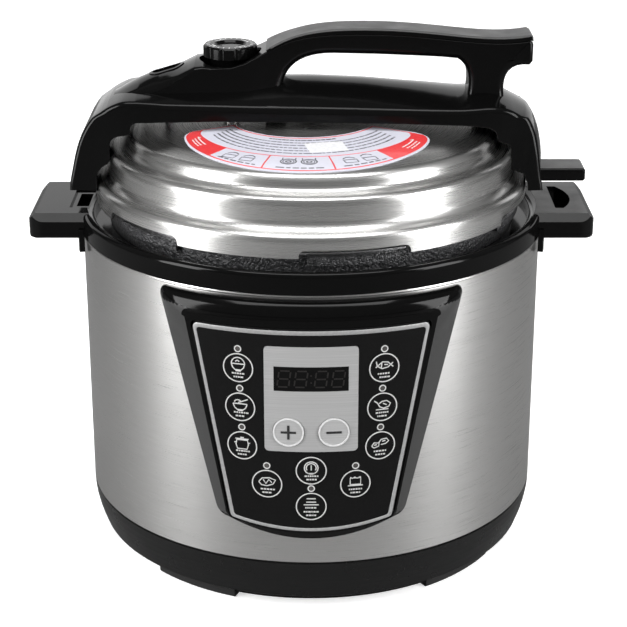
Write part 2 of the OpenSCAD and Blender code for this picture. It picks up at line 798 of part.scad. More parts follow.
post_hole_r = 4;
pipe_r = 4.5;
pin_r = 2.4;
screw_x = [-20, 97];

module lid_shell() {
    tooth_arc = 360 / lug_count - notch_arc;
    color("#c4c6c9") difference() {
        union() {
            difference() {
                rotate_extrude($fn = 160) polygon(concat(
                    lid_outline(0), [[skirt_r, skirt_z], [skirt_r - lid_t, skirt_z]],
                    reversed(lid_outline(lid_t))));
                for (i = [0:lug_count - 1])
                    rotate([0, 0, -90 + lug_turn + i * 360 / lug_count])
                        translate([skirt_r - 4, 0, skirt_z]) along_x(20) notch_shape();
            }
            // Teeth folded inwards between the notches
            for (i = [0:lug_count - 1])
                front_sector(lug_turn + (i + 0.5) * 360 / lug_count, tooth_arc)
                    translate([114.8, skirt_z]) square([skirt_r - lid_t / 2 - 114.8, lid_t]);
        }
        rod(0, 0, post_hole_r + 0.1, 230, 260);
        rod(valve_x, 0, pipe_r + 0.1, 230, 260);
        rod(float_x, 0, pin_r + 0.3, 230, 260);
        for (x = screw_x) rod(x, 0, 2.6, 230, 260);
    }
}

// A crescent-shaped sheet on the lid's front
module lid_label() {
    thick = 0.3;
    color("#e6e3ee") intersection() {
        rotate_extrude($fn = 160) polygon([
            [label_r0, lid_z(label_r0)], [90, lid_z(90)], [label_r1, label_edge_z],
            [label_r1, label_edge_z + thick], [90, lid_z(90) + thick], [label_r0, lid_z(label_r0) + thick]]);
        linear_extrude(300) difference() {
            intersection() {
                translate([-2, -33]) circle(67.3);
                polygon([[0.5, 10.4], [-80, -38.3], [-80, -120], [80, -120], [80, -57.2]]);
            }
            translate([-4, -4]) circle(40.5);
        }
    }
}

seal_z = 207;

module sealing_plate() {
    hub_r = 4.08;
    t = 1;
    color("#b9bcc0") difference() {
        rotate_extrude() polygon([
            [hub_r, seal_z + 1], [9, seal_z + 1], [11, seal_z + 5], [86, seal_z + 5], [92, seal_z],
            [103.5, seal_z], [103.5, seal_z + t], [92.5, seal_z + t], [86.5, seal_z + 5 + t],
            [10.5, seal_z + 5 + t], [9.5, seal_z + 7], [hub_r, seal_z + 7]]);
        for (a = [0:60:300]) rotate([0, 0, a + 30]) rod(60, 0, 5, 200, 230);
    }
}

module gasket() {
    color("#dcdcd6") rotate_extrude() difference() {
        polygon([[98, 205.4], [100, 203.2], [106.4, 203.1], [107.4, 205], [107.2, 210], [105.5, 211.4],
                 [100, 211.2], [98, 209.6]]);
        translate([90, seal_z - 0.05]) square([13.6, 1.1]);
    }
}

hub_z0 = seal_z + 1;
hub_z1 = seal_z + 7;

module centre_post() {
    shoulder_r = 6.5;
    color("#a3a6aa") union() {
        rod(0, 0, post_hole_r, 204, lid_top_z + 1.4);
        rod(0, 0, shoulder_r, hub_z1 + 0.15, lid_z(shoulder_r + lid_t) - lid_t);
        rod(0, 0, 6, lid_top_z, lid_top_z + 1.4);
    }
}

module post_nut() {
    color("#c7c9cc") difference() {
        rotate_extrude() polygon([[0, 200], [5, 200], [8, 203], [8, hub_z0 - 0.15], [0, hub_z0 - 0.15]]);
        rod(0, 0, post_hole_r + 0.02, 203.9, 240);
    }
}

// ---------------------------------------------------------------- arm and handle

arm_end_z = 209.4;
left_shoulder = [-94, 229];
left_shoulder_r = 38;
right_shoulder = [107.5, 243];
right_shoulder_r = 20;
crown_drop = 6.4;

// Side view of the arm, moved inwards by d, with its ends open when drop is above 0
function arm_side(d, drop) = concat(
    [[-138 + d, arm_end_z - drop], [-138 + d, 214], [-136.3 + d, 226]],
    arc(left_shoulder.x, left_shoulder.y, left_shoulder_r - d, 159, 90, 9),
    arc(right_shoulder.x, right_shoulder.y, right_shoulder_r - d + 6, 90, 90, 1),
    arc(right_shoulder.x, right_shoulder.y, right_shoulder_r - d, 90, 0, 7),
    [[131.8 - d, 226], [133.5 - d, arm_end_z - drop]]);

// End view of the arm: flat sides and a crowned top
function arm_end(d) = let (half = arm_y - d, r = (arm_y * arm_y + crown_drop * crown_drop) / (2 * crown_drop),
                           a = asin(half / (r - d)))
    concat([[-half, 190], [half, 190]], arc(0, arm_top_z - r, r - d, 90 - a, 90 + a, 12));

// The whole arm as one closed body, moved inwards by d
module arm_body(d, drop) {
    intersection() {
        along_y(2 * arm_y) polygon(arm_side(d, drop));
        along_x(300) polygon(arm_end(d));
        linear_extrude(300) polygon([
            [-140, -arm_end_y + d], [-95, -arm_y + d], [90, -arm_y + d], [140, -arm_end_y + d],
            [140, arm_end_y - d], [90, arm_y - d], [-95, arm_y - d], [-140, arm_end_y - d]]);
    }
}

// Side view of the arch that the arm leaves open over the lid
arm_arch = [
    [-119, 200], [-118.6, 220], [-115.5, 223.8], [-111.5, 226], [-110.8, 237.5], [-109.5, 239.8],
    [-106.5, 241.4], [-99.5, 242.4], [-99, 247.4], [-96.8, 249.3], [-50, 250.2], [50, 248.9],
    [88, 247.7], [98, 246.2], [101.5, 243.6], [102.7, 238.6], [111.5, 236], [113.4, 232.8],
    [113.8, 222], [119.8, 219.4], [120.8, 212.5], [120.8, 200],
];

module arm_cover() {
    boss_r = 6;
    color("#0f1012") difference() {
        union() {
            difference() {
                arm_body(0, 0);
                arm_body(arm_t, 10);
                along_y(80) polygon(arm_arch);
            }
            // Bosses round the handle's screws
            for (x = screw_x) rod(x, 0, boss_r, 238, arm_top_z - 1);
            // Tab that props the open lid in the right ear
            difference() {
                intersection() {
                    box([128, -11, 210.5], [154.5, 11, 217.8]);
                    along_x(400) polygon([[-11, 211], [-10.5, 210.5], [10.5, 210.5], [11, 211],
                                          [11, 216.8], [10, 217.8], [-10, 217.8], [-11, 216.8]]);
                }
                arm_body(1, 10);
            }
        }
        under_lid(0.1);
        rod(valve_x, 0, pipe_r + 0.6, 240, 270);
        rod(float_x, 0, pin_r + 0.4, 240, 270);
        for (x = screw_x) rod(x, 0, 2.6, 200, 300);
        rod(0, 0, 7, 240, lid_top_z + 2);
    }
}

// Plates that close the lower ends of the arm
module arm_end_caps() {
    color("#16171a") difference() {
        intersection() {
            arm_body(arm_t + 0.1, 10);
            union() {
                box([-140, -30, arm_end_z], [-skirt_r - 1, 30, arm_end_z + 2.4]);
                box([skirt_r + 1, -30, arm_end_z], [140, 30, arm_end_z + 2.4]);
            }
        }
        under_lid(0.3);
    }
}

handle_z = 250;
recess_r = 17.3;
recess_z = 270.5;
cover_t = 3.2;

grip_top = concat(
    curve([-26, 286], [-8, 296.5], [8, 297.5], [30, 297.5]),
    curve([30, 297.5], [70, 297.5], [95, 289.5], [120, 294]));

// Side view of the grip with its post and its left root, without the finger opening
module grip_side() {
    difference() {
        polygon(concat(grip_top, [[122, 292], [122, 278.5], [120.5, 277], [100, handle_z], [-26, handle_z]]));
        // Finger opening
        polygon(concat(
            [[-16, handle_z - 1]], curve([-16, 262], [-16, 276], [-6, 283.6], [12, 283.4], 10),
            [[60, 282]], curve([83.5, 280.4], [89.5, 274], [89.5, 262], [83, handle_z - 1], 8)));
        // Notch to the right of the post
        polygon(concat(curve([111, handle_z - 1], [104.5, 262], [104.5, 274], [110.5, 278.4], 8),
            [[121, 276.9], [130, 276.9], [130, handle_z - 1]]));
    }
    // Foot of the post
    polygon([[84, handle_z], [110, handle_z], [109, 256], [85, 256]]);
}

// Housing of the valves, in side, end and top view
hump_y = 18.8;
ramp_end = [-66, 279.3];
ramp_slope = 20;
ramp_crown_r = 44;
hump_side = [[-113, handle_z], [-113, 258], [-108, 264], ramp_end, [-58, 280], [-26, 280.4],
             [-26, 286], [-16, 286], [-16, handle_z]];
hump_end = concat([[-hump_y, handle_z], [hump_y, handle_z]], arc(0, 220, 61, 72, 108, 8));
hump_top = [[-113, -13], [-104, -hump_y], [-28, -hump_y], [-17, -grip_y], [-15, -grip_y], [-15, grip_y],
            [-17, grip_y], [-28, hump_y], [-104, hump_y], [-113, 13]];

module handle() {
    color("#101113") difference() {
        union() {
            intersection() {
                along_y(60) polygon(hump_side);
                along_x(300) polygon(hump_end);
                linear_extrude(300) polygon(hump_top);
                // The ramp over the float valve is crowned
                translate([ramp_end.x, 0, ramp_end.y]) rotate([0, 90 - ramp_slope, 0])
                    translate([ramp_crown_r, 0, -80]) cylinder(r = ramp_crown_r, h = 160);
            }
            along_y(2 * grip_y) grip_side();
        }
        arm_body(0, 0);
        // Seat of the grip's top cover
        along_y(60) polygon(concat(grip_top - [for (p = grip_top) [0, cover_t]],
            [[122.5, 290.5], [122.5, 310], [-26.5, 310]]));
        // Round recess for the steam valve and window for the float valve
        rod(valve_x, 0, recess_r, recess_z, 310);
        rod(valve_x, 0, pipe_r + 0.6, 240, 310);
        translate([0, 0, 250]) linear_extrude(40) round_rect(float_x - 10, -4.2, float_x + 10, 4.2, 4);
        // Screw holes
        rod(screw_x[0], 0, 2.52, 240, 279);
        rod(screw_x[1], 0, 2.52, 240, 273);
    }
}

module grip_cover() {
    color("#2b2c2f") along_y(2 * grip_y) difference() {
        polygon(concat(grip_top, [[122, 292], [122, 290.6]], reversed(grip_top - [for (p = grip_top) [0, cover_t]])));
    }
}

module handle_screws() {
    head_r = 4.4;
    head_h = 3.4;
    shank_r = 2.5;
    // Top of each head, just under the lid
    seats = [lid_z(head_r - screw_x[0] + lid_t) - lid_t, 237.9];
    color("#a9abae") for (i = [0, 1]) {
        rod(screw_x[i], 0, head_r, seats[i] - head_h, seats[i]);
        rod(screw_x[i], 0, shank_r, seats[i] - 1, [277, 272][i]);
    }
}

// ---------------------------------------------------------------- valves

pipe_top_z = 277;
pipe_bottom_z = 232;
knob_r = 15;
knob_z0 = 280.5;
knob_z1 = 287;

module exhaust_pipe() {
    color("#b0b3b7") translate([valve_x, 0, 0]) rotate_extrude() difference() {
        polygon([[1.5, pipe_bottom_z], [pipe_r, pipe_bottom_z], [pipe_r, 238.5], [8, 238.5], [8, 242.8],
                 [pipe_r, 242.8], [pipe_r, 272], [3.4, pipe_top_z], [1.5, pipe_top_z]]);
    }
}

// Cap with slots that keeps food out of the exhaust pipe
module strainer_cap() {
    color("#c3c5c8") translate([valve_x, 0, 0]) difference() {
        rod(0, 0, 11, 226, 238.4);
        rod(0, 0, 10, 227, 240);
        for (a = [0:45:315]) rotate([0, 0, a]) box([8, -1.5, 229], [12, 1.5, 236]);
    }
}

module valve_knob() {
    bore_r = 6.2;
    color("#131416") translate([valve_x, 0, 0]) difference() {
        rotate_extrude() polygon([
            [bore_r, 272], [11, 272], [11.5, knob_z0], [knob_r, knob_z0], [knob_r, knob_z1 - 1],
            [knob_r - 1, knob_z1], [9, knob_z1], [8, knob_z1 - 1.2], [0, knob_z1 - 1.2],
            [0, 283.4], [bore_r, 283.4]]);
        // Three windows round the middle
        for (a = [65, 185, 305]) rotate([0, 0, a]) rotate_extrude(angle = 50)
            translate([4.6, 284.6]) square([2.8, 5]);
        // Finger flutes round the rim
        for (a = [15:30:345]) rotate([0, 0, a]) rod(knob_r + 1.2, 0, 1.8, 270, 300);
    }
}

module valve_insert() {
    color("#c0c2c5") translate([valve_x, 0, 0]) rotate_extrude() polygon([
        [0, 276], [0.9, 276], [1.3, pipe_top_z + 0.3], [6.15, pipe_top_z + 0.3], [6.15, 283.3], [0, 283.3]]);
}

float_rise = 4.4;
seal_top_z = lid_z(-float_x) - lid_t - float_rise - 0.3;

module float_pin() {
    color("#5b5e63") translate([float_x, 0, 0]) rotate_extrude() polygon([
        [0, seal_top_z - 5], [1.4, seal_top_z - 5], [1.4, seal_top_z], [pin_r, seal_top_z],
        [pin_r, arm_top_z + 0.1], [3.6, arm_top_z + 0.4], [3.6, 267.6], [2.6, 268.6], [0, 268.6]]);
}

module float_seal() {
    color("#e2e2dc") translate([float_x, 0, 0]) difference() {
        rod(0, 0, 5, seal_top_z - 3.6, seal_top_z);
        rod(0, 0, 1.42, 200, 260);
    }
}

// ---------------------------------------------------------------- the assembly

base();
feet();
base_screws();
steel_shell();
collar();
condensate_cup();
cup_bracket();
outer_pot();
inner_pot();
heating_plate();
heating_element();
pressure_beam();
beam_screws();
pressure_switch();
temperature_sensor();
sensor_spring();
thermal_fuse();
power_board();
power_inlet();
inlet_pins();
wiring();
bezel();
panel_overlay();
display_plate();
display_window();
led_display();
display_board();
board_screws();
tact_switches();
indicator_leds();
for (b = BUTTONS) color("#0d0e10") button(b);
lid_shell();
lid_label();
sealing_plate();
gasket();
centre_post();
post_nut();
arm_cover();
arm_end_caps();
handle();
grip_cover();
handle_screws();
exhaust_pipe();
strainer_cap();
valve_knob();
valve_insert();
float_pin();
float_seal();
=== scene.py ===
"""Looks of the electric pressure cooker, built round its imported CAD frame. Lengths are in millimetres."""

import math
import random

import bmesh
import bpy
from mathutils import Matrix, Vector


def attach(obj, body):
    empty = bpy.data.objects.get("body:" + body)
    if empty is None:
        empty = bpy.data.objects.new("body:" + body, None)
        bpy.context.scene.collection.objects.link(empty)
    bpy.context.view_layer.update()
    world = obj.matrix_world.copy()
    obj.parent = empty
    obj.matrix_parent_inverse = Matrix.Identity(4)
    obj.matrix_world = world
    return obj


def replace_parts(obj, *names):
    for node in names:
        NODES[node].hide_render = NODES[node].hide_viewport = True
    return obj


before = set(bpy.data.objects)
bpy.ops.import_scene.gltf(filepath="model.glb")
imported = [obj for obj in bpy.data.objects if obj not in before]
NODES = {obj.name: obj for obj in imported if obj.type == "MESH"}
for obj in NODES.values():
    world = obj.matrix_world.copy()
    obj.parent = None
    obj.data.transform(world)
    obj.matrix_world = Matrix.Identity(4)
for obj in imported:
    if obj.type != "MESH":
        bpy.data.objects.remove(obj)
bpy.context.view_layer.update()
MM = 0.001

# Places along X that the lid, the arm and the handle share
FLOAT_X = -80
VALVE_X = -45
SCREW_X = (-20, 97)
PIPE_HOLE_R = 5.2


# ------------ camera

def added(name, data):
    """A new object in the scene."""
    obj = bpy.data.objects.new(name, data)
    bpy.context.collection.objects.link(obj)
    return obj


camera = added("camera", bpy.data.cameras.new("camera"))
camera.data.lens = 102.3
camera.data.sensor_width = 36
camera.location = (0.0012, -0.977, 0.4985)
camera.rotation_euler = (math.radians(90 - 20.84), 0, 0)
bpy.context.scene.camera = camera


# ------------ finishes

class Finish:
    """A node material under construction."""

    def __init__(self, name, colour, metallic=0.0, roughness=0.5, **sockets):
        self.material = bpy.data.materials.new(name)
        self.material.use_nodes = True
        self.tree = self.material.node_tree
        self.shader = self.tree.nodes["Principled BSDF"]
        values = {"Base Color": (*colour, 1), "Metallic": metallic, "Roughness": roughness}
        values.update({key.replace("_", " "): value for key, value in sockets.items()})
        for key, value in values.items():
            self.shader.inputs[key].default_value = value

    def node(self, kind, inputs, output=0, **settings):
        """Adds a node and returns one of its output sockets. Sockets among the inputs are linked."""
        node = self.tree.nodes.new(kind)
        for key, value in settings.items():
            setattr(node, key, value)
        for key, value in inputs.items():
            if isinstance(value, bpy.types.NodeSocket):
                self.tree.links.new(value, node.inputs[key])
            else:
                node.inputs[key].default_value = value
        return node.outputs[output]

    def math(self, operation, a, b=0.0):
        return self.node("ShaderNodeMath", {0: a, 1: b}, operation=operation)

    def place(self):
        return self.node("ShaderNodeTexCoord", {}, "Object")

    def round_place(self, along, across):
        """Coordinates round the body's axis, stretched along the turning direction."""
        split = self.tree.nodes.new("ShaderNodeSeparateXYZ")
        self.tree.links.new(self.place(), split.inputs[0])
        x, y, z = split.outputs
        angle = self.math("ARCTAN2", y, x)
        flat = self.node("ShaderNodeCombineXYZ", {0: x, 1: y, 2: 0.0})
        radius = self.node("ShaderNodeVectorMath", {0: flat}, "Value", operation="LENGTH")
        height = self.math("MULTIPLY", self.math("ADD", z, radius), across)
        return self.node("ShaderNodeCombineXYZ", {0: self.math("MULTIPLY", angle, along), 1: height, 2: 0.0})

    def noise(self, scale, detail=2.0, vector=None, **inputs):
        return self.node("ShaderNodeTexNoise", {
            "Vector": vector or self.place(), "Scale": scale, "Detail": detail, **inputs})

    def drive(self, socket, factor, low, high, start=0.3, end=0.7):
        """Varies a number of the shader between low and high."""
        self.tree.links.new(self.node("ShaderNodeMapRange", {
            "Value": factor, "From Min": start, "From Max": end, "To Min": low, "To Max": high}),
            self.shader.inputs[socket])
        return self

    def tint(self, factor, other, start=0.35, end=0.65):
        """Varies the colour between the base colour and another."""
        amount = self.node("ShaderNodeMapRange", {"Value": factor, "From Min": start, "From Max": end})
        base = tuple(self.shader.inputs["Base Color"].default_value)
        mixed = self.node("ShaderNodeMix", {0: amount, 6: base, 7: (*other, 1)}, 2, data_type="RGBA")
        self.tree.links.new(mixed, self.shader.inputs["Base Color"])
        return self

    def quiet(self, shade):
        """Shows a dull surface of the given shade to every ray but the camera's own."""
        path = self.node("ShaderNodeLightPath", {})
        dull = self.node("ShaderNodeBsdfDiffuse", {"Color": (*grey(shade), 1)})
        mixed = self.node("ShaderNodeMixShader", {0: path, 1: dull, 2: self.shader.outputs[0]})
        self.tree.links.new(mixed, self.tree.nodes["Material Output"].inputs["Surface"])

    def relief(self, height, depth, strength=1.0):
        """Adds fine relief of the given depth in millimetres."""
        bump = self.node("ShaderNodeBump", {"Height": height, "Distance": depth * MM, "Strength": strength})
        self.tree.links.new(bump, self.shader.inputs["Normal"])
        return self


def grey(value):
    return (value, value, value)


def gloss_plastic(name, value=0.0022, roughness=0.1):
    f = Finish(name, grey(value), roughness=roughness, Specular_IOR_Level=0.12)
    f.drive("Roughness", f.noise(60, 3), roughness * 0.8, roughness * 1.3)
    f.tint(f.noise(900, 2), grey(value * 1.2))
    return f.relief(f.noise(160, 2), 0.01, 0.3).material


def satin_plastic(name, value=0.03, roughness=0.42, depth=0.03):
    f = Finish(name, grey(value), roughness=roughness, Specular_IOR_Level=0.28)
    f.drive("Roughness", f.noise(90, 3), roughness * 0.85, roughness * 1.15)
    f.tint(f.noise(2500, 2), grey(value * 1.25))
    return f.relief(f.noise(1800, 3), depth).material


def brushed_round(name, colour, roughness, along, across, anisotropic=0.0, depth=0.004):
    """Metal with fine lines that run round the body."""
    f = Finish(name, colour, 1.0, roughness, Anisotropic=anisotropic, Anisotropic_Rotation=0.25)
    if anisotropic:
        tangent = f.node("ShaderNodeTangent", {}, direction_type="RADIAL", axis="Z")
        f.tree.links.new(tangent, f.shader.inputs["Tangent"])
    lines = f.noise(1.0, 4, f.round_place(along, across))
    f.drive("Roughness", lines, roughness * 0.88, roughness * 1.14)
    f.tint(f.noise(1.0, 3, f.round_place(along * 2.7, across * 0.45)), tuple(c * 0.95 for c in colour))
    return f.relief(lines, depth).material


def plain_metal(name, colour, roughness, depth=0.01, scale=700):
    f = Finish(name, colour, 1.0, roughness)
    f.drive("Roughness", f.noise(120, 4), roughness * 0.75, roughness * 1.3)
    f.tint(f.noise(300, 3), tuple(c * 0.85 for c in colour))
    return f.relief(f.noise(scale, 3), depth).material


def matter(name, colour, roughness=0.5, depth=0.02, scale=900, other=None, **sockets):
    f = Finish(name, colour, 0.0, roughness, **sockets)
    f.drive("Roughness", f.noise(150, 3), roughness * 0.85, min(1.0, roughness * 1.2))
    f.tint(f.noise(scale * 0.5, 3), other or tuple(c * 0.85 for c in colour))
    return f.relief(f.noise(scale, 3), depth).material


def straight_brushed(name, colour, roughness, metallic):
    """Sheet metal, or its imitation in paint, with fine level lines."""
    f = Finish(name, colour, metallic, roughness)
    stretch = f.node("ShaderNodeVectorMath", {0: f.place(), 1: (8.0, 8.0, 2600.0)}, operation="MULTIPLY")
    lines = f.noise(1.0, 4, stretch)
    f.drive("Roughness", lines, roughness * 0.8, roughness * 1.3)
    f.tint(lines, tuple(c * 0.82 for c in colour))
    return f.relief(lines, 0.004).material


M = {
    "gloss": gloss_plastic("gloss_black"),
    "arm": gloss_plastic("arm_black", 0.0022, 0.13),
    "base": satin_plastic("base_black", 0.006, 0.3, 0.003),
    "satin": satin_plastic("satin_grey", 0.045, 0.42, 0.02),
    "side": satin_plastic("bezel_grey", 0.04, 0.36, 0.005),
    "rubber": satin_plastic("foot_rubber", 0.02, 0.75, 0.05),
    "shell": brushed_round("brushed_steel", (0.66, 0.655, 0.645), 0.3, 3.0, 5000, 0.5, 0.0001),
    "lid": brushed_round("lathe_steel", (0.68, 0.675, 0.665), 0.28, 1.6, 3500, 0.6, 0.0001),
    "cast": matter("cast_metal", (0.035, 0.035, 0.037), 0.32, 1.2, 700, (0.08, 0.08, 0.082), Metallic=0.5),
    "pot": brushed_round("pot_aluminium", (0.75, 0.75, 0.76), 0.24, 1.5, 700),
    "plate": plain_metal("cast_aluminium", (0.6, 0.6, 0.61), 0.42, 0.05, 1500),
    "element": plain_metal("element_steel", (0.36, 0.32, 0.28), 0.45),
    "steel": plain_metal("zinc_steel", (0.62, 0.62, 0.63), 0.3),
    "pressed": brushed_round("pressed_steel", grey(0.66), 0.22, 1.5, 800),
    "spring": plain_metal("spring_steel", (0.5, 0.5, 0.52), 0.26),
    "brass": plain_metal("brass", (0.75, 0.55, 0.24), 0.25),
    "ceramic": matter("ceramic", (0.82, 0.79, 0.7), 0.45),
    "board": matter("circuit_board", (0.025, 0.16, 0.055), 0.35, 0.02, 400, (0.05, 0.24, 0.09)),
    "wire": matter("wire_sheath", (0.5, 0.03, 0.02), 0.45),
    "silicone": matter("silicone", (0.7, 0.7, 0.66), 0.5, 0.03, 600, Subsurface_Weight=0.2,
                       Subsurface_Radius=(0.004, 0.003, 0.003)),
    "cup": matter("clear_cup", (0.82, 0.85, 0.88), 0.22, 0.01, 300, Transmission_Weight=0.85, IOR=1.49),
    "lamp": matter("lamp_guide", (0.06, 0.057, 0.055), 0.15, 0.01, 500, (0.09, 0.085, 0.08)),
    "overlay": gloss_plastic("overlay_black", 0.006),
    "window": gloss_plastic("smoked_window", 0.0035, 0.06),
    "display": satin_plastic("display_body", 0.02, 0.5),
    "plate_silver": straight_brushed("display_silver", grey(0.52), 0.4, 0.35),
    "key_silver": straight_brushed("key_silver", grey(0.58), 0.38, 0.35),
    "silver_ink": matter("silver_ink", (0.74, 0.74, 0.73), 0.4, 0.005, 1500, Metallic=0.2),
    "line_ink": matter("line_ink", grey(0.42), 0.4, 0.005, 1500, Metallic=0.3),
    "white_ink": matter("white_ink", grey(0.75), 0.45, 0.005, 1500),
    "dark_ink": matter("dark_ink", (0.016, 0.016, 0.017), 0.4, 0.005, 1500, grey(0.03)),
    "grey_ink": matter("grey_ink", (0.04, 0.04, 0.05), 0.5, 0.005, 2500, (0.14, 0.14, 0.16)),
    "red_ink": matter("red_ink", (0.82, 0.055, 0.06), 0.35, 0.005, 1500, (0.74, 0.04, 0.045),
                      Coat_Weight=0.3),
    "segment": matter("segment_ink", (0.011, 0.0095, 0.009), 0.3, 0.005, 1500),
    "paper": matter("label_sheet", (0.63, 0.63, 0.71), 0.4, 0.005, 900, (0.6, 0.6, 0.68)),
    "sticker": matter("sticker_paper", (0.8, 0.8, 0.82), 0.5, 0.01, 1500),
}

# CAD nodes by finish. The others, the overlay and the black buttons, take the overlay's.
FINISHED_NODES = {
    "base": "base power_inlet",
    "rubber": "feet",
    "steel": "base_screws beam_screws board_screws centre_post post_nut handle_screws valve_insert",
    "shell": "steel_shell",
    "gloss": "collar cup_bracket bezel handle valve_knob",
    "cup": "condensate_cup",
    "cast": "outer_pot",
    "pot": "inner_pot temperature_sensor",
    "plate": "heating_plate",
    "element": "heating_element",
    "spring": "pressure_beam sensor_spring float_pin",
    "ceramic": "pressure_switch thermal_fuse",
    "board": "power_board display_board",
    "brass": "inlet_pins",
    "wire": "wiring",
    "plate_silver": "display_plate",
    "window": "display_window",
    "display": "led_display tact_switches",
    "lamp": "indicator_leds",
    "lid": "lid_shell",
    "paper": "lid_label",
    "pressed": "sealing_plate exhaust_pipe strainer_cap",
    "silicone": "gasket float_seal",
    "arm": "arm_cover arm_end_caps",
    "satin": "grip_cover",
    "key_silver": "button_plus button_minus",
}


def paint(obj, *materials):
    """Gives an object these materials. To clear an empty list would reset the faces' material numbers."""
    if obj.data.materials:
        obj.data.materials.clear()
    for material in materials:
        obj.data.materials.append(material)


finish_of = {node_name: finish for finish, names in FINISHED_NODES.items() for node_name in names.split()}
for node_name, node in NODES.items():
    paint(node, M[finish_of.get(node_name, "overlay")])


# ------------ mesh helpers

def outward(bm):
    """Turns every face to the outside."""
    bmesh.ops.recalc_face_normals(bm, faces=bm.faces)


def make(name, bm, body, *materials, angle=38, slot=None):
    """Turns a bmesh into a piece that rides on a body."""
    outward(bm)
    limit = math.radians(angle)
    for face in bm.faces:
        face.smooth = True
    for edge in bm.edges:
        edge.smooth = edge.calc_face_angle(0) < limit
    mesh = bpy.data.meshes.new(name)
    bm.to_mesh(mesh)
    bm.free()
    obj = added(name, mesh)
    paint(obj, *materials)
    obj.modifiers.new("even_normals", "WEIGHTED_NORMAL").keep_sharp = True
    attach(obj, body)
    return obj


def finished(obj):
    """Applies the object's modifiers to its mesh."""
    bpy.context.view_layer.update()
    graph = bpy.context.evaluated_depsgraph_get()
    mesh = bpy.data.meshes.new_from_object(obj.evaluated_get(graph))
    obj.modifiers.clear()
    obj.data = mesh


def cut(bm, cutters):
    """Takes the closed cutter meshes out of a bmesh and returns the result."""
    objects = []
    for i, part in enumerate([bm, *cutters]):
        outward(part)
        mesh = bpy.data.meshes.new(f"cut_{i}")
        part.to_mesh(mesh)
        part.free()
        objects.append(added(f"cut_{i}", mesh))
    for tool in objects[1:]:
        modifier = objects[0].modifiers.new("cut", "BOOLEAN")
        modifier.operation = "DIFFERENCE"
        modifier.solver = "EXACT"
        modifier.object = tool
    finished(objects[0])
    result = bmesh.new()
    result.from_mesh(objects[0].data)
    for obj in objects:
        bpy.data.objects.remove(obj)
    bmesh.ops.remove_doubles(result, verts=result.verts, dist=1e-6)
    return result


def curve(a, b, c, d, n=12):
    """Points of a cubic curve that leaves a towards b and reaches d from c."""
    points = []
    for i in range(n + 1):
        t = i / n
        s = 1 - t
        points.append(tuple(
            s ** 3 * a[k] + 3 * s * s * t * b[k] + 3 * s * t * t * c[k] + t ** 3 * d[k] for k in (0, 1)))
    return points


def arc(cx, cy, r, a0, a1, n=8):
    """Points of an arc, with angles in degrees."""
    return [(cx + r * math.cos(math.radians(a0 + (a1 - a0) * i / n)),
             cy + r * math.sin(math.radians(a0 + (a1 - a0) * i / n))) for i in range(n + 1)]


def ramp(x, points):
    """Straight lines between (x, y) points."""
    if x <= points[0][0]:
        return points[0][1]
    for (x0, y0), (x1, y1) in zip(points, points[1:]):
        if x <= x1:
            return y0 + (y1 - y0) * (x - x0) / (x1 - x0)
    return points[-1][1]


def smooth_ramp(x, points):
    """Eased steps between (x, y) points."""
    for (x0, y0), (x1, y1) in zip(points, points[1:]):
        if x0 < x <= x1:
            t = (x - x0) / (x1 - x0)
            return y0 + (y1 - y0) * t * t * (3 - 2 * t)
    return points[0][1] if x <= points[0][0] else points[-1][1]


def rounded(points, radius, steps=4):
    """A polyline with its inner corners rounded."""
    result = [points[0]]
    for before, corner, after in zip(points, points[1:], points[2:]):
        p, c, q = Vector(before), Vector(corner), Vector(after)
        size = min(radius, (p - c).length * 0.45, (q - c).length * 0.45)
        a, b = c + (p - c).normalized() * size, c + (q - c).normalized() * size
        for i in range(steps + 1):
            t = i / steps
            result.append(tuple(a * (1 - t) ** 2 + c * 2 * t * (1 - t) + b * t * t))
    result.append(points[-1])
    return result


def revolve(profile, steps=192, centre=(0, 0)):
    """A closed (r, z) profile turned about a vertical axis. Points on the axis become one."""
    bm = bmesh.new()
    rings = []
    for r, z in profile:
        if r < 1e-6:
            rings.append([bm.verts.new((centre[0] * MM, centre[1] * MM, z * MM))] * steps)
        else:
            rings.append([bm.verts.new((
                (centre[0] + r * math.cos(2 * math.pi * i / steps)) * MM,
                (centre[1] + r * math.sin(2 * math.pi * i / steps)) * MM, z * MM)) for i in range(steps)])
    for low, high in zip(rings, rings[1:] + rings[:1]):
        for i in range(steps):
            corners = []
            for vert in (low[i], low[(i + 1) % steps], high[(i + 1) % steps], high[i]):
                if vert not in corners:
                    corners.append(vert)
            if len(corners) > 2:
                bm.faces.new(corners)
    return bm


def bridge(bm, low, high):
    """Faces between two closed rings of equally many vertices."""
    for i in range(len(low)):
        k = (i + 1) % len(low)
        bm.faces.new((low[i], low[k], high[k], high[i]))


def loft(bm, rings):
    """Joins closed rings of equally many points into a skin and returns the rings' vertices."""
    rings = [[bm.verts.new(p) for p in ring] for ring in rings]
    for low, high in zip(rings, rings[1:]):
        bridge(bm, low, high)
    return rings


def rod(x, y, r, z0, z1, steps=48):
    return revolve([(0, z0), (r, z0), (r, z1), (0, z1)], steps, (x, y))


def box(lo, hi):
    bm = bmesh.new()
    bmesh.ops.create_cube(bm, size=1)
    for vert in bm.verts:
        vert.co = Vector([(lo[k] + hi[k]) / 2 + vert.co[k] * (hi[k] - lo[k]) for k in range(3)]) * MM
    return bm


def soften(bm, width, segments=3, test=None, angle=25):
    """Rounds the edges that are sharp and pass the test on their middle, given in millimetres."""
    edges = [e for e in bm.edges if len(e.link_faces) == 2 and e.calc_face_angle(0) > math.radians(angle)
             and (test is None or test((e.verts[0].co + e.verts[1].co) * 500))]
    bmesh.ops.bevel(bm, geom=edges, offset=width * MM, segments=segments, profile=0.5,
                    affect="EDGES", clamp_overlap=True)
    return bm


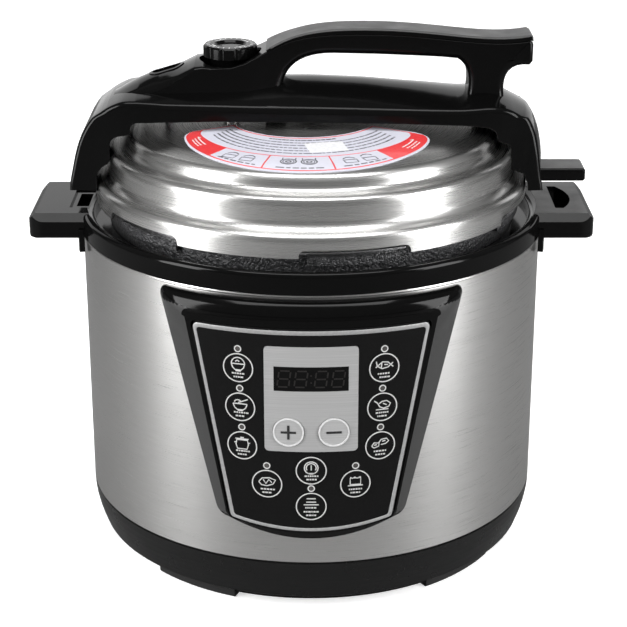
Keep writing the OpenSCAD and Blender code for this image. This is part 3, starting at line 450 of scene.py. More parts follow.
def copied(node_name):
    """The CAD node's shape, welded, with its flat faces whole."""
    bm = bmesh.new()
    bm.from_mesh(NODES[node_name].data)
    bmesh.ops.remove_doubles(bm, verts=bm.verts, dist=2e-6)
    bmesh.ops.dissolve_limit(bm, angle_limit=math.radians(0.4), verts=bm.verts, edges=bm.edges)
    return bm


def slab(outline, half, weights, rim, segments=5):
    """A flat (x, z) outline carried along Y both ways, its rims rounded by rim times each edge's weight."""
    n = len(outline)
    verts = [(x * MM, side * half * MM, z * MM) for side in (-1, 1) for x, z in outline]
    faces = [tuple(range(n)), tuple(range(2 * n - 1, n - 1, -1))]
    faces += [(i, i + n, (i + 1) % n + n, (i + 1) % n) for i in range(n)]
    mesh = bpy.data.meshes.new("slab")
    mesh.from_pydata(verts, [], faces)
    mesh.update()
    layer = mesh.attributes.new("bevel_weight_edge", "FLOAT", "EDGE")
    for edge in mesh.edges:
        i, j = sorted(v % n for v in edge.vertices)
        if (edge.vertices[0] < n) == (edge.vertices[1] < n):
            layer.data[edge.index].value = weights[j if (i, j) == (0, n - 1) else i]
    obj = added("slab", mesh)
    bevel = obj.modifiers.new("rim", "BEVEL")
    bevel.limit_method = "WEIGHT"
    bevel.width = rim * MM
    bevel.segments = segments
    bevel.use_clamp_overlap = False
    finished(obj)
    bm = bmesh.new()
    bm.from_mesh(obj.data)
    bpy.data.objects.remove(obj)
    return bm


def slice_at(bm, axis, places):
    """Adds edges where the planes at these places meet the mesh."""
    normal = Vector((axis == 0, axis == 1, axis == 2))
    for place in places:
        bmesh.ops.bisect_plane(bm, geom=bm.verts[:] + bm.edges[:] + bm.faces[:], dist=1e-7,
                               plane_co=normal * place * MM, plane_no=normal)


def warp(bm, move):
    """Moves each vertex as move(x, y, z), in millimetres."""
    for vert in bm.verts:
        vert.co = Vector(move(*(vert.co * 1000))) * MM


# ------------ prints: thin raised lines and patches

def strip(bm, points, width, put, closed=False, height=0.06):
    """A thin line of ink along (u, v) points. put(u, v, h) gives its place at height h over the surface."""
    count = len(points)
    rows = []
    for i, p in enumerate(points):
        a = points[i - 1] if closed or i else p
        b = points[(i + 1) % count] if closed or i < count - 1 else p
        du, dv = b[0] - a[0], b[1] - a[1]
        size = math.hypot(du, dv) or 1
        nu, nv = -dv / size * width / 2, du / size * width / 2
        left, right = (p[0] + nu, p[1] + nv), (p[0] - nu, p[1] - nv)
        rows.append([bm.verts.new(put(*q)) for q in (
            (*left, 0.0), (*left, height), (*right, height), (*right, 0.0))])
    for low, high in zip(rows, rows[1:] + (rows[:1] if closed else [])):
        bridge(bm, low, high)
    if not closed:
        bm.faces.new(rows[0])
        bm.faces.new(rows[-1][::-1])


def patch(bm, grid, put, low=0.0, high=0.06):
    """A thin sheet over a grid of (u, v) points."""
    top = [[bm.verts.new(put(u, v, high)) for u, v in row] for row in grid]
    bottom = [[bm.verts.new(put(u, v, low)) for u, v in row] for row in grid]
    last_i, last_j = len(grid) - 1, len(grid[0]) - 1
    for i in range(last_i):
        for j in range(last_j):
            for layer in (top, bottom):
                bm.faces.new((layer[i][j], layer[i + 1][j], layer[i + 1][j + 1], layer[i][j + 1]))
    rim = ([(i, 0) for i in range(last_i)] + [(last_i, j) for j in range(last_j)]
           + [(i, last_j) for i in range(last_i, 0, -1)] + [(0, j) for j in range(last_j, 0, -1)])
    for (i, j), (k, m) in zip(rim, rim[1:] + rim[:1]):
        bm.faces.new((top[i][j], top[k][m], bottom[k][m], bottom[i][j]))


def circle(u, v, r, n=32):
    return arc(u, v, r, 0, 360, n)[:-1]


def strokes(rng, start, end, shortest, longest, gap):
    """The stretches of a row of broken print, each of a random length."""
    while start < end:
        stop = start + rng.uniform(shortest, longest)
        yield start, stop
        start = stop + gap


# ------------ lid

# The lid's outer (r, z) profile, from its middle to its lower rim. The first points are its top.
LID = [(0, 247), (90, 243), (98.5, 241.7), (101.8, 241.2), (104, 238.6), (104.5, 234.4), (107.4, 232.6),
       (110.8, 232.2), (113.2, 230.9), (113.8, 228.4), (113.9, 218.4), (116.4, 215.6), (119.4, 214.6),
       (121.2, 213), (121.5, 210.8), (121.5, 202.3)]
LID_TOP = LID[:5]
# The sheet's thickness, sideways and downwards
SHEET = (1.5, 1.6)
# The teeth are folded inwards between as many notches. Turns and spans are in degrees.
TEETH = 6
NOTCH_TURN = -79
TOOTH_SPAN = 31.6
TOOTH = [(114.9, 202.4), (120.6, 202.4), (120.6, 203.9), (115.4, 203.9), (114.9, 203.4)]


def lid_z(r):
    """Height of the lid's top at a distance from its middle."""
    return ramp(r, LID_TOP)


def build_lid():
    outside = rounded(LID, 1.6)
    inside = [(max(0.0, r - SHEET[0]), z - SHEET[1]) for r, z in outside[:-1]] + [(119.9, 202.3)]
    lid = revolve(outside + inside[::-1], 240)
    notches = []
    for i in range(TEETH):
        turn = Matrix.Rotation(math.radians(NOTCH_TURN + 60 * i), 4, "Z")
        notch = box((112, -29.4, 195), (130, 29.4, 206.8))
        soften(notch, 3.2, 4, lambda p: abs(p.x - 121) < 4 and p.z > 206)
        bmesh.ops.transform(notch, matrix=turn, verts=notch.verts)
        notches.append(notch)
    holes = [(0, 4.1), (VALVE_X, 4.6), (FLOAT_X, 2.7)] + [(x, 2.6) for x in SCREW_X]
    lid = cut(lid, notches + [rod(x, 0, r, 225, 260) for x, r in holes])
    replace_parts(make("lid_sheet", lid, "lid", M["lid"], slot="lid_steel"), "lid_shell")
    for i in range(TEETH):
        bm = bmesh.new()
        rows = []
        for j in range(17):
            a = math.radians(NOTCH_TURN + 60 * i + 30 + (j / 16 - 0.5) * TOOTH_SPAN)
            rows.append([bm.verts.new((r * math.cos(a) * MM, r * math.sin(a) * MM, z * MM))
                         for r, z in TOOTH])
        for low, high in zip(rows, rows[1:]):
            bridge(bm, low, high)
        bm.faces.new(rows[0])
        bm.faces.new(rows[-1][::-1])
        make(f"lid_tooth_{i + 1}", bm, "lid", M["lid"], slot="lid_steel")


build_lid()


# ------------ label on the lid

# The label lies between two angles from the front, about a middle of its own
LABEL_LEFT, LABEL_RIGHT = -70, 66
LABEL_X, LABEL_Y = -4, -4
INNER_R = 40.6
# Its outer edge is a wider circle, whose middle is given from the label's own
OUTER_R = 67.2
OUTER_X, OUTER_Y = 2, -29
CORNER_ANGLE = 9
CORNER_R = 10
# Share of the sheet's depth at which the outer red line runs
LINE_T = 0.955
INK_HEIGHT = 0.06


def label_edge(a):
    """Distances from the label's own middle to its inner and outer edge, at an angle from the front."""
    along = OUTER_X * math.sin(math.radians(a)) - OUTER_Y * math.cos(math.radians(a))
    outer = along + math.sqrt(OUTER_R ** 2 - (OUTER_X ** 2 + OUTER_Y ** 2) + along * along)
    left = min(a - LABEL_LEFT, LABEL_RIGHT - a)
    corner = max(0.0, 1 - left / CORNER_ANGLE)
    return INNER_R, outer - CORNER_R * (1 - math.sqrt(max(0.0, 1 - corner * corner)))


def label_point(a, t):
    """Place on the lid at an angle and a share of the way from the inner to the outer edge."""
    inner, outer = label_edge(a)
    d = inner + (outer - inner) * t
    return (LABEL_X + d * math.sin(math.radians(a)), LABEL_Y - d * math.cos(math.radians(a)))


def on_lid(x, y, h):
    return (x * MM, y * MM, (lid_z(math.hypot(x, y)) + h) * MM)


def on_label(x, y, h):
    return on_lid(x, y, h + 0.26)


def on_red(x, y, h):
    """A place on the red ink."""
    return on_label(x, y, h + INK_HEIGHT)


def label_row(t, a0, a1, n):
    """Points along the label at a share of its depth."""
    return [label_point(a0 + (a1 - a0) * i / n, t) for i in range(n + 1)]


def border_t(a):
    """Share of the label's depth at which the inner red line runs, at an angle from the front."""
    return 0.595 + 0.145 * (a / 68) ** 2


def build_label():
    rng = random.Random(7)
    n = 110
    steps = [LABEL_LEFT + (LABEL_RIGHT - LABEL_LEFT) * (0.5 - 0.5 * math.cos(math.pi * i / n))
             for i in range(n + 1)]
    sheet = bmesh.new()
    patch(sheet, [[label_point(a, t / 14) for t in range(15)] for a in steps], on_lid, 0.02, 0.28)
    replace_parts(make("label_sheet", sheet, "lid", M["paper"], slot="label_paper"), "lid_label")

    red, ink, white = bmesh.new(), bmesh.new(), bmesh.new()
    lo, hi = LABEL_LEFT + 1.6, LABEL_RIGHT - 1.6
    edge = (label_row(0.035, lo, hi, 80) + [label_point(hi, t / 20) for t in range(2, 17)]
            + [label_point(hi - 0.5 - (hi - lo - 1) * i / 100, LINE_T) for i in range(101)]
            + [label_point(lo, t / 20) for t in range(16, 1, -1)])
    strip(red, edge, 0.9, on_label, True)
    strip(red, [label_point(a, border_t(a)) for a in [-68 + 132 * i / 80 for i in range(81)]], 0.8, on_label)
    for a in (-13.7, 10.3):
        across = [label_point(a, border_t(a) + (LINE_T - border_t(a)) * i / 6) for i in range(7)]
        strip(red, across, 0.8, on_label)
    for a0, a1 in ((-67.8, -35.7), (32, 63.8)):
        patch(red, [[label_point(a, border_t(a) + (0.952 - border_t(a)) * t / 8) for t in range(9)]
                    for a in [a0 + (a1 - a0) * i / 30 for i in range(31)]], on_label)
    make("label_red", red, "lid", M["red_ink"])

    # Rows of broken strokes where the sheet carries small print
    for row in range(6):
        t = 0.1 + row * 0.08
        a, end, width = (-24, 22, 1.5) if row == 0 else (-62 + row, 58 - row, 1.15)
        while a < end:
            size = rng.uniform(1.2, 4.2)
            stop = min(a + size, end)
            strip(ink, label_row(t, a, stop, 4), width * rng.uniform(0.8, 1.1), on_label)
            a = stop + rng.uniform(0.35, 0.7)
    # Small line drawings with a caption under each pair
    for middle, kinds in ((-25, ("pot", "pot")), (-1.7, ("dial", "dial")), (21, ("pot", "lid"))):
        for k, kind in enumerate(kinds):
            a = middle + (k - 0.5) * 7.6
            cx, cy = label_point(a, border_t(a) + 0.15)
            turn = math.radians(a)

            def put(u, v, h, cx=cx, cy=cy, turn=turn):
                return on_label(cx + u * math.cos(turn) - v * math.sin(turn),
                                cy + u * math.sin(turn) + v * math.cos(turn), h)

            if kind == "dial":
                strip(ink, circle(0, 0, 4.1), 0.75, put, True)
                strip(ink, circle(0, 0, 2.9), 0.55, put, True)
                strip(ink, circle(0, 0, 1.3), 0.9, put, True)
                strip(ink, [(-3.4, 3), (-3.4, 5.8)], 0.6, put)
                strip(ink, [(3.4, 3), (3.4, 5.8)], 0.6, put)
            else:
                lift = 1.6 if kind == "lid" else 0.4
                strip(ink, [(-3.6, -1), (-3.4, -4.6), (3.4, -4.6), (3.6, -1)], 0.8, put)
                strip(ink, [(-4, 0), (4, 0)], 0.9, put)
                strip(ink, arc(0, lift, 3.4, 20, 160, 8), 0.8, put)
                strip(ink, [(-1.2, lift + 3.6), (1.2, lift + 3.6)], 0.8, put)
        for a, stop in strokes(rng, middle - 7.5, middle + 7.5, 1.2, 3.0, 0.7):
            strip(ink, label_row(0.9, a, stop, 3), 1.0, on_label)
    make("label_ink", ink, "lid", M["grey_ink"])

    # An arrow and two rows of broken print on each red end
    for middle, sign in ((-52, -1), (49, 1)):
        strip(white, label_row(0.77, middle - 5.5, middle + 5.5, 6), 0.8, on_red)
        tip = middle + sign * 6.5
        strip(white, [label_point(tip - sign * 2, 0.735), label_point(tip, 0.77)], 0.7, on_red)
        for row, half in ((0.83, 5), (0.88, 4)):
            for a, stop in strokes(rng, middle - half, middle + half, 1.0, 2.2, 0.6):
                strip(white, label_row(row, a, stop, 3), 0.8, on_red)
    make("label_white", white, "lid", M["white_ink"])

    # Blank sticker over the print
    sticker = bmesh.new()
    c, s = math.cos(math.radians(13)), math.sin(math.radians(13))
    patch(sticker, [[(8 + u * c - v * s, -61.5 + u * s + v * c) for v in (-8, -4, 0, 4, 8)]
                    for u in (-10.5, -6, -2, 2, 6, 10.5)], on_label, 0.04, 0.16)
    make("label_sticker", sticker, "lid", M["sticker"])


build_label()


# ------------ arm over the lid

# Half of the arm's depth, before its ends narrow
ARM_HALF = 31
# The arm's (x, z) outline: over its top from left to right, then back along its underside
ARM_TOP = [(-134.5, 209.4), (-134.3, 214), (-132.5, 222), (-130, 233), (-126, 243.5), (-119.5, 252.8),
           (-111, 259.3), (-101, 263.2), (-90, 264.6), (-60, 266.6), (-30, 268.4), (0, 268.6), (30, 267.2),
           (60, 264.4), (82, 261.8), (98, 261.2), (107, 260.2), (114, 256.6), (119.6, 250.6), (123.4, 242),
           (125.6, 231), (127.4, 218), (129, 209.4)]
ARM_ARCH = [(121, 209.4), (121, 212.5), (119.8, 219.4), (113.8, 222), (113.4, 232.8), (111.5, 236),
            (102.7, 238.6), (101.5, 243.6), (98, 246.2), (88, 247.7), (50, 248.9), (0, 249.6), (-50, 250.2),
            (-96.8, 249.3), (-99, 247.4), (-99.5, 242.4), (-106.5, 241.4), (-109.5, 239.8),
            (-110.8, 237.5), (-111.5, 226), (-115.5, 223.8), (-118.6, 220), (-119, 209.4)]


def build_arm():
    top, underside = rounded(ARM_TOP, 6, 3), rounded(ARM_ARCH, 1.2, 2)
    weights = [1.0] * (len(top) - 1) + [0.2] * (len(underside) + 1)
    bm = slab(top + underside, ARM_HALF, weights, 2.4)
    slice_at(bm, 0, range(-128, 130, 8))
    slice_at(bm, 1, (-24, -16, -8, 0, 8, 16, 24))

    def move(x, y, z):
        """Narrows the ends, drops the top towards its edges and shapes the right leg."""
        half = smooth_ramp(x, [(-138, 25), (-92, ARM_HALF), (88, ARM_HALF), (134, 25)])
        drop = ramp(x, [(-104, 1.6), (-80, 6), (-30, 11.4), (0, 12.2), (30, 11.2), (60, 8.6), (98, 3.8)])
        share = smooth_ramp(z, [(250.4, 0), (256, 1)])
        # The right leg bulges outwards in the middle, and its inner side follows the lid's curve
        swell = 3.6 * smooth_ramp(x, [(104, 0), (119, 1)])
        swell *= smooth_ramp(z, [(209, 0.2), (232, 1), (252, 1), (260, 0)])
        follow = 3.2 * smooth_ramp(x, [(108, 0), (110, 1), (118, 1), (122, 0)])
        follow *= smooth_ramp(z, [(232, 1), (242, 0)])
        to_edge = (y / ARM_HALF) ** 2
        return x + swell * (1 - to_edge) - follow * to_edge, y * half / ARM_HALF, z - drop * share * to_edge

    warp(bm, move)
    bm = cut(bm, [rod(FLOAT_X, 0, 4.2, 200, 300), rod(VALVE_X, 0, PIPE_HOLE_R, 200, 300)])
    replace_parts(make("lid_arm", bm, "lid", M["arm"], slot="gloss_black"), "arm_cover", "arm_end_caps")
    # Bosses that stand the arm on the lid
    for i, (x, low) in enumerate(zip(SCREW_X, (246.1, 242.2))):
        boss = revolve(rounded([(0, low), (6, low), (5.4, 256), (0, 256)], 0.5), 40, (x, 0))
        make(f"arm_boss_{i + 1}", boss, "lid", M["arm"])
    tab = soften(box((126, -11, 210.5), (154.5, 11, 217.8)), 1.6, 4)
    for face in tab.faces:
        face.material_index = 1 if face.normal.z > 0.8 and face.calc_area() > 1e-4 else 0
    make("lid_tab", tab, "lid", M["gloss"], M["satin"])


build_arm()


# ------------ handle

# Half-widths of the grip and of the valve's housing, and radius of the well round the knob
GRIP_HALF = 12
HOUSING_HALF = 18.8
WELL_R = 17.3
# (x, z) outlines of the grip's top, and of the moulding from the housing's left end up to the grip
GRIP_TOP = (curve((-26, 286), (-8, 296.5), (8, 297.5), (30, 297.5), 16)
            + curve((30, 297.5), (70, 297.5), (95, 289.5), (120, 294), 16)[1:])
BODY_TOP = [(-110, 258.4), (-104, 260.6), (-95, 263), (-85, 266), (-76, 270.2), (-69, 274.4), (-64.5, 276.8),
            (-60, 277.5), (-51, 277.1), (-44, 277.4), (-37, 279.4), (-30, 282.8), (-24.5, 285.6), (-19, 288),
            (-12, 290.4), (-6, 291.9), (2, 293.2), (11, 294)]


def handle_half(x):
    """Half of the handle's width: wide round the valve, narrow along the grip."""
    return smooth_ramp(x, [(-112, 12.5), (-96, HOUSING_HALF), (-42, HOUSING_HALF), (-6, GRIP_HALF)])


def housing_crown(x):
    """How far the housing's middle stands above its edges."""
    return smooth_ramp(x, [(-112, 2.4), (-88, 5.6), (-64, 2.0), (-52, 0)])


def float_window(r, n):
    """The long round outline of the float valve's window."""
    return arc(-84.6, 0, r, 90, 270, n) + arc(-77, 0, r, -90, 90, n)


def build_handle():
    body_top = BODY_TOP + [(x, z - 3.2) for x, z in GRIP_TOP if x > 14]
    notch = [(121.6, 289.8), (122, 288.4), (122, 279.4), (120.4, 277.2)] + curve(
        (117, 277.2), (107, 276.6), (105.8, 268), (106.8, 260), 8) + [(108.6, 255.6), (111, 253)]
    opening = ([(82.6, 253), (85, 256)] + curve((86.4, 260), (88, 269), (87, 277), (80.6, 280.5), 8)
               + [(72, 281.3), (60, 281.9), (36, 282.9)]
               + curve((12, 283.4), (-6, 283.6), (-16, 276), (-16.4, 262), 12) + [(-17, 253)])
    outline = [(-111, 253)] + body_top + notch + opening
    weights = [0.1] + [ramp(x, [(-80, 0.55), (-66, 0.42), (-52, 0.16), (-36, 0.16), (-26, 0.22)])
                       for x, z in body_top[:-1]] + [0.3]
    weights += [0.6] * 4 + [1.0] * (len(notch) - 5) + [0.3] + [1.0] * (len(opening) - 1) + [0.1]
    bm = slab(outline, GRIP_HALF, weights, 4.0)
    slice_at(bm, 0, list(range(-108, -4, 4)) + list(range(0, 120, 10)))
    slice_at(bm, 1, (-9, -6, -3, 0, 3, 6, 9))

    def move(x, y, z):
        share = max(0.0, min(1.0, (z - 254) / 8))
        rise = housing_crown(x) * share * (1 - (y / GRIP_HALF) ** 2)
        return x, y * handle_half(x) / GRIP_HALF, z + rise

    warp(bm, move)
    well = revolve(rounded([(0, 270.5), (WELL_R, 270.5), (WELL_R, 320), (0, 320)], 1.5), 96, (VALVE_X, 0))
    window = bmesh.new()
    low, high = [[window.verts.new((x * MM, y * MM, z * MM)) for x, y in float_window(4.1, 10)]
                 for z in (240, 300)]
    window.faces.new(low)
    window.faces.new(high)
    bridge(window, low, high)
    bm = cut(bm, [well, window, rod(VALVE_X, 0, PIPE_HOLE_R, 240, 280)])

    def on_rim(p):
        return (abs(math.hypot(p.x - VALVE_X, p.y) - WELL_R) < 0.4 and p.z > 273) or (
            -91 < p.x < -69 and abs(p.y) < 4.6 and p.z > 266)

    soften(bm, 0.45, 3, on_rim, 40)
    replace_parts(make("handle_body", bm, "lid", M["gloss"]), "handle")
    # Raised rim of the float valve's window
    rim = bmesh.new()

    def on_ramp(x, y, h):
        crown = housing_crown(x) * (1 - (y / HOUSING_HALF) ** 2)
        return (x * MM, y * MM, (ramp(x, BODY_TOP) + crown + h) * MM)

    strip(rim, float_window(5.1, 14), 1.7, lambda x, y, h: on_ramp(x, y, h * 14 - 0.3), True)
    soften(rim, 0.4, 3, None, 60)
    make("float_window_rim", rim, "lid", M["gloss"])

    # The grip's cover sits just over the moulding
    under = [(x, z + 0.06) for x, z in body_top if x > -25]
    top = [p for p in GRIP_TOP if p[0] > -24.5]
    outline = [(-25, 286.4)] + top + [(121.7, 293), (121.9, 290.6)] + under[::-1]
    count = len(top) + 2
    bm = slab(outline, GRIP_HALF, [1.0] * count + [0.2] * (len(outline) - count), 1.5, 4)
    slice_at(bm, 0, range(-20, 0, 4))
    warp(bm, lambda x, y, z: (x, y * handle_half(x) / GRIP_HALF * 0.995, z))
    outward(bm)
    for face in bm.faces:
        face.material_index = 1 if face.normal.z > 0.45 else 0
    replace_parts(make("grip_top", bm, "lid", M["gloss"], M["satin"], slot="grip_grey"), "grip_cover")


build_handle()


# ------------ steam valve's knob

def build_knob():
    marks = bmesh.new()

    def put(u, v, h):
        return ((VALVE_X + u) * MM, v * MM, (287 + h) * MM)

    for i in range(24):
        a = math.radians(15 * i)
        long = 1.5 if i % 6 else 2.4
        strip(marks, [(r * math.cos(a), r * math.sin(a)) for r in (11.4, 11.4 + long)], 0.5, put)
    for a in (20, 110, 200, 290):
        strip(marks, arc(0, 0, 10.4, a, a + 30, 6), 0.6, put)
    make("knob_marks", marks, "steam_valve", M["white_ink"])
    bm = soften(copied("valve_knob"), 0.3, 2, None, 30)
    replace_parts(make("knob_body", bm, "steam_valve", M["gloss"]), "valve_knob")


build_knob()


# ------------ collar, cup and feet with softened edges

def build_body():
    bm = soften(copied("collar"), 0.7, 3, lambda p: math.hypot(p.x, p.y) > 131.4 or p.z > 196, 28)
    outward(bm)
    for face in bm.faces:
        middle = face.calc_center_median() * 1000
        face.material_index = 1 if face.normal.z > 0.95 and abs(middle.x) > 133 and middle.z > 197.6 else 0
    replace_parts(make("collar_ring", bm, "cooker_body", M["gloss"], M["satin"]), "collar")
    bm = soften(copied("condensate_cup"), 0.6, 3)
    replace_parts(make("cup_body", bm, "cup", M["cup"], slot="cup_plastic"), "condensate_cup")
    bm = soften(copied("feet"), 0.5, 3)
    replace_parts(make("foot_pads", bm, "cooker_body", M["rubber"], slot="foot_rubber"), "feet")


build_body()


# ------------ control panel

# The panel's face is a cone about the body's axis, and its back lies on the shell
FACE_SLOPE = 4.5 / 132
FACE_TILT = math.atan(FACE_SLOPE)
BACK_R = 130.08
MIDDLE_Z = 114


def face_r(z):
    """Radius of the face at a height."""
    return 134 + FACE_SLOPE * (z - 50)


def on_round(x, z, r):
    """Place straight behind (x, z), at a distance from the body's axis."""
    return (x * MM, -math.sqrt(r * r - x * x) * MM, z * MM)


def on_panel(x, z, out):
    """Place on the panel's face, straight behind (x, z)."""
    return on_round(x, z, face_r(z) + out)


def panel_outline(top_x, top_z, bottom_x, bottom_z, bulge, r, lower_r=None):
    """The panel's outline as evenly counted points, anticlockwise from the lower right corner."""
    lean = math.degrees(math.atan((top_x - bottom_x) / (top_z - bottom_z)))
    low = lower_r or r
    lower = arc(bottom_x - low, bottom_z + low, low, -80, -lean, 6)
    upper = arc(top_x - r * 1.1, top_z - r, r, -lean, 90, 8)

    def between(a, b, n):
        return [(a[0] + (b[0] - a[0]) * i / n, a[1] + (b[1] - a[1]) * i / n) for i in range(1, n)]

    right = lower + between(lower[-1], upper[0], 20) + upper
    left = [(-x, z) for x, z in right[::-1]]
    bottom = []
    for i in range(1, 20):
        x = -lower[0][0] + 2 * lower[0][0] * i / 20
        bottom.append((x, lower[0][1] - bulge * (1 - (x / lower[0][0]) ** 2)))
    return right + between(right[-1], left[0], 24) + left + bottom


# Outlines as panel_outline takes them: back edge, face, overlay, the overlay's well and the hollow behind
OUTER = (79.2, 183.4, 51, 57.6, 9.5, 4.5, 8)
FACE = (65.6, 175, 46, 60, 7.5, 3.2, 6)
OVERLAY = (62, 170.5, 44, 58.5, 5.5, 3)
WELL = (62.25, 170.75, 44.25, 58.25, 5.5, 3.1)
HOLLOW = (57, 167, 41, 64, 3, 4)
WELL_DEPTH = 1.25
HOLLOW_DEPTH = 3.4
SHRINK = (0.8, 0.6, 0.4, 0.2)
# Middles of the buttons on the face. A lamp sits at LED_RISE above most of them.
BUTTONS = {
    "rice": (-37.5, 147.2), "porridge": (-36.75, 125), "soup": (-36, 102.8), "stew": (-23.2, 81.6),
    "slow_cook": (0, 90.2), "cancel": (0, 69), "cake": (23.2, 81.6), "meat": (36, 102.8),
    "chicken": (36.75, 125), "fish": (37.5, 147.2), "plus": (-11.8, 112.4), "minus": (11.8, 112.4),
}
LED_RISE = 10.6
BUTTON_HOLE_R = 8.55
LED_HOLE_R = 1.75
SIGNS = ("plus", "minus")


def face_frame(x, z):
    """Matrix of a flat frame on the panel at (x, z), with its third axis straight out of the face."""
    r = face_r(z)
    return (Matrix.Rotation(math.asin(x / r), 4, "Z") @ Matrix.Translation((0, -r * MM, z * MM))
            @ Matrix.Rotation(math.pi / 2 + FACE_TILT, 4, "X"))


def build_bezel():
    outer, face = panel_outline(*OUTER), panel_outline(*FACE)
    hollow, well = panel_outline(*HOLLOW), panel_outline(*WELL)

    def back(points, r):
        return [on_round(x, z, r) for x, z in points]

    def shrunk(points, depth):
        return [[on_panel(x * share, MIDDLE_Z + (z - MIDDLE_Z) * share, -depth) for x, z in points]
                for share in SHRINK]

    rings = [[on_panel(x, z, -HOLLOW_DEPTH) for x, z in hollow], back(hollow, BACK_R), back(outer, BACK_R),
             back(outer, BACK_R + 0.8)]
    steps = 9
    for s in range(steps + 1):
        t = s / steps
        ring = []
        for (x0, z0), (x1, z1) in zip(outer, face):
            x, z = x0 + (x1 - x0) * t, z0 + (z1 - z0) * t
            high = smooth_ramp(z0, [(164, 0), (177, 1)])
            rise = t * (1 - high) + math.sqrt(1 - (1 - t) ** 2) * high
            low_r, full_r = BACK_R + 1.4, face_r(z1) - 0.12
            ring.append(on_round(x, z, low_r + (full_r - low_r) * rise))
        rings.append(ring)
    inner = [(x - 0.55 * (x / 68), z - 0.45 if z > 120 else z + 0.45) for x, z in face]
    rings.append([on_panel(x, z, 0) for x, z in inner])
    rings += [[on_panel(x, z, -depth) for x, z in well] for depth in (0, WELL_DEPTH)]
    bm = bmesh.new()
    made = loft(bm, rings + shrunk(panel_outline(*OVERLAY), WELL_DEPTH))
    bm.faces.new(made[-1])
    floor = [[bm.verts.new(p) for p in ring] for ring in shrunk(hollow, HOLLOW_DEPTH)]
    for low, high in zip([made[0]] + floor, floor):
        bridge(bm, low, high)
    bm.faces.new(floor[-1])
    cutters = []
    for name, (x, z) in BUTTONS.items():
        lamp = [] if name in (*SIGNS, "slow_cook") else [(LED_RISE, LED_HOLE_R)]
        for rise, radius in [(0, BUTTON_HOLE_R)] + lamp:
            hole = rod(0, 0, radius, -20, 6, 32)
            bmesh.ops.transform(hole, matrix=face_frame(x, z) @ Matrix.Translation((0, rise * MM, 0)),
                                verts=hole.verts)
            cutters.append(hole)
    display_hole = box((-20, -150, 134.5), (20, -110, 151))
    bm = cut(bm, cutters + [display_hole])
    # The sloping left and right sides are dull
    for f in bm.faces:
        x, y, z = f.calc_center_median() * 1000
        edge_x = ramp(z, [(58.5, 45), (170.5, 63)])
        if BACK_R + 0.5 < math.hypot(x, y) < face_r(z) - 0.2 and abs(x) > edge_x and 60 < z < 177:
            f.material_index = 1
    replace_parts(make("bezel_frame", bm, "cooker_body", M["gloss"], M["side"], angle=14), "bezel")

    line = bmesh.new()

    def inset(t):
        top_x, top_z, low_x, low_z, bulge, r = OVERLAY
        return panel_outline(top_x - t, top_z - t * 1.2, low_x - t, low_z + t * 0.8, bulge - t * 0.15,
                             r - t * 0.45)

    rings = [[on_panel(x, z, out) for x, z in inset(t)]
             for t, out in ((0.95, 0.01), (1.1, 0.2), (1.3, 0.26), (2.3, 0.26), (2.75, 0.16), (2.9, 0.01))]
    made = loft(line, rings)
    bridge(line, made[-1], made[0])
    make("panel_line", line, "cooker_body", M["line_ink"])


build_bezel()

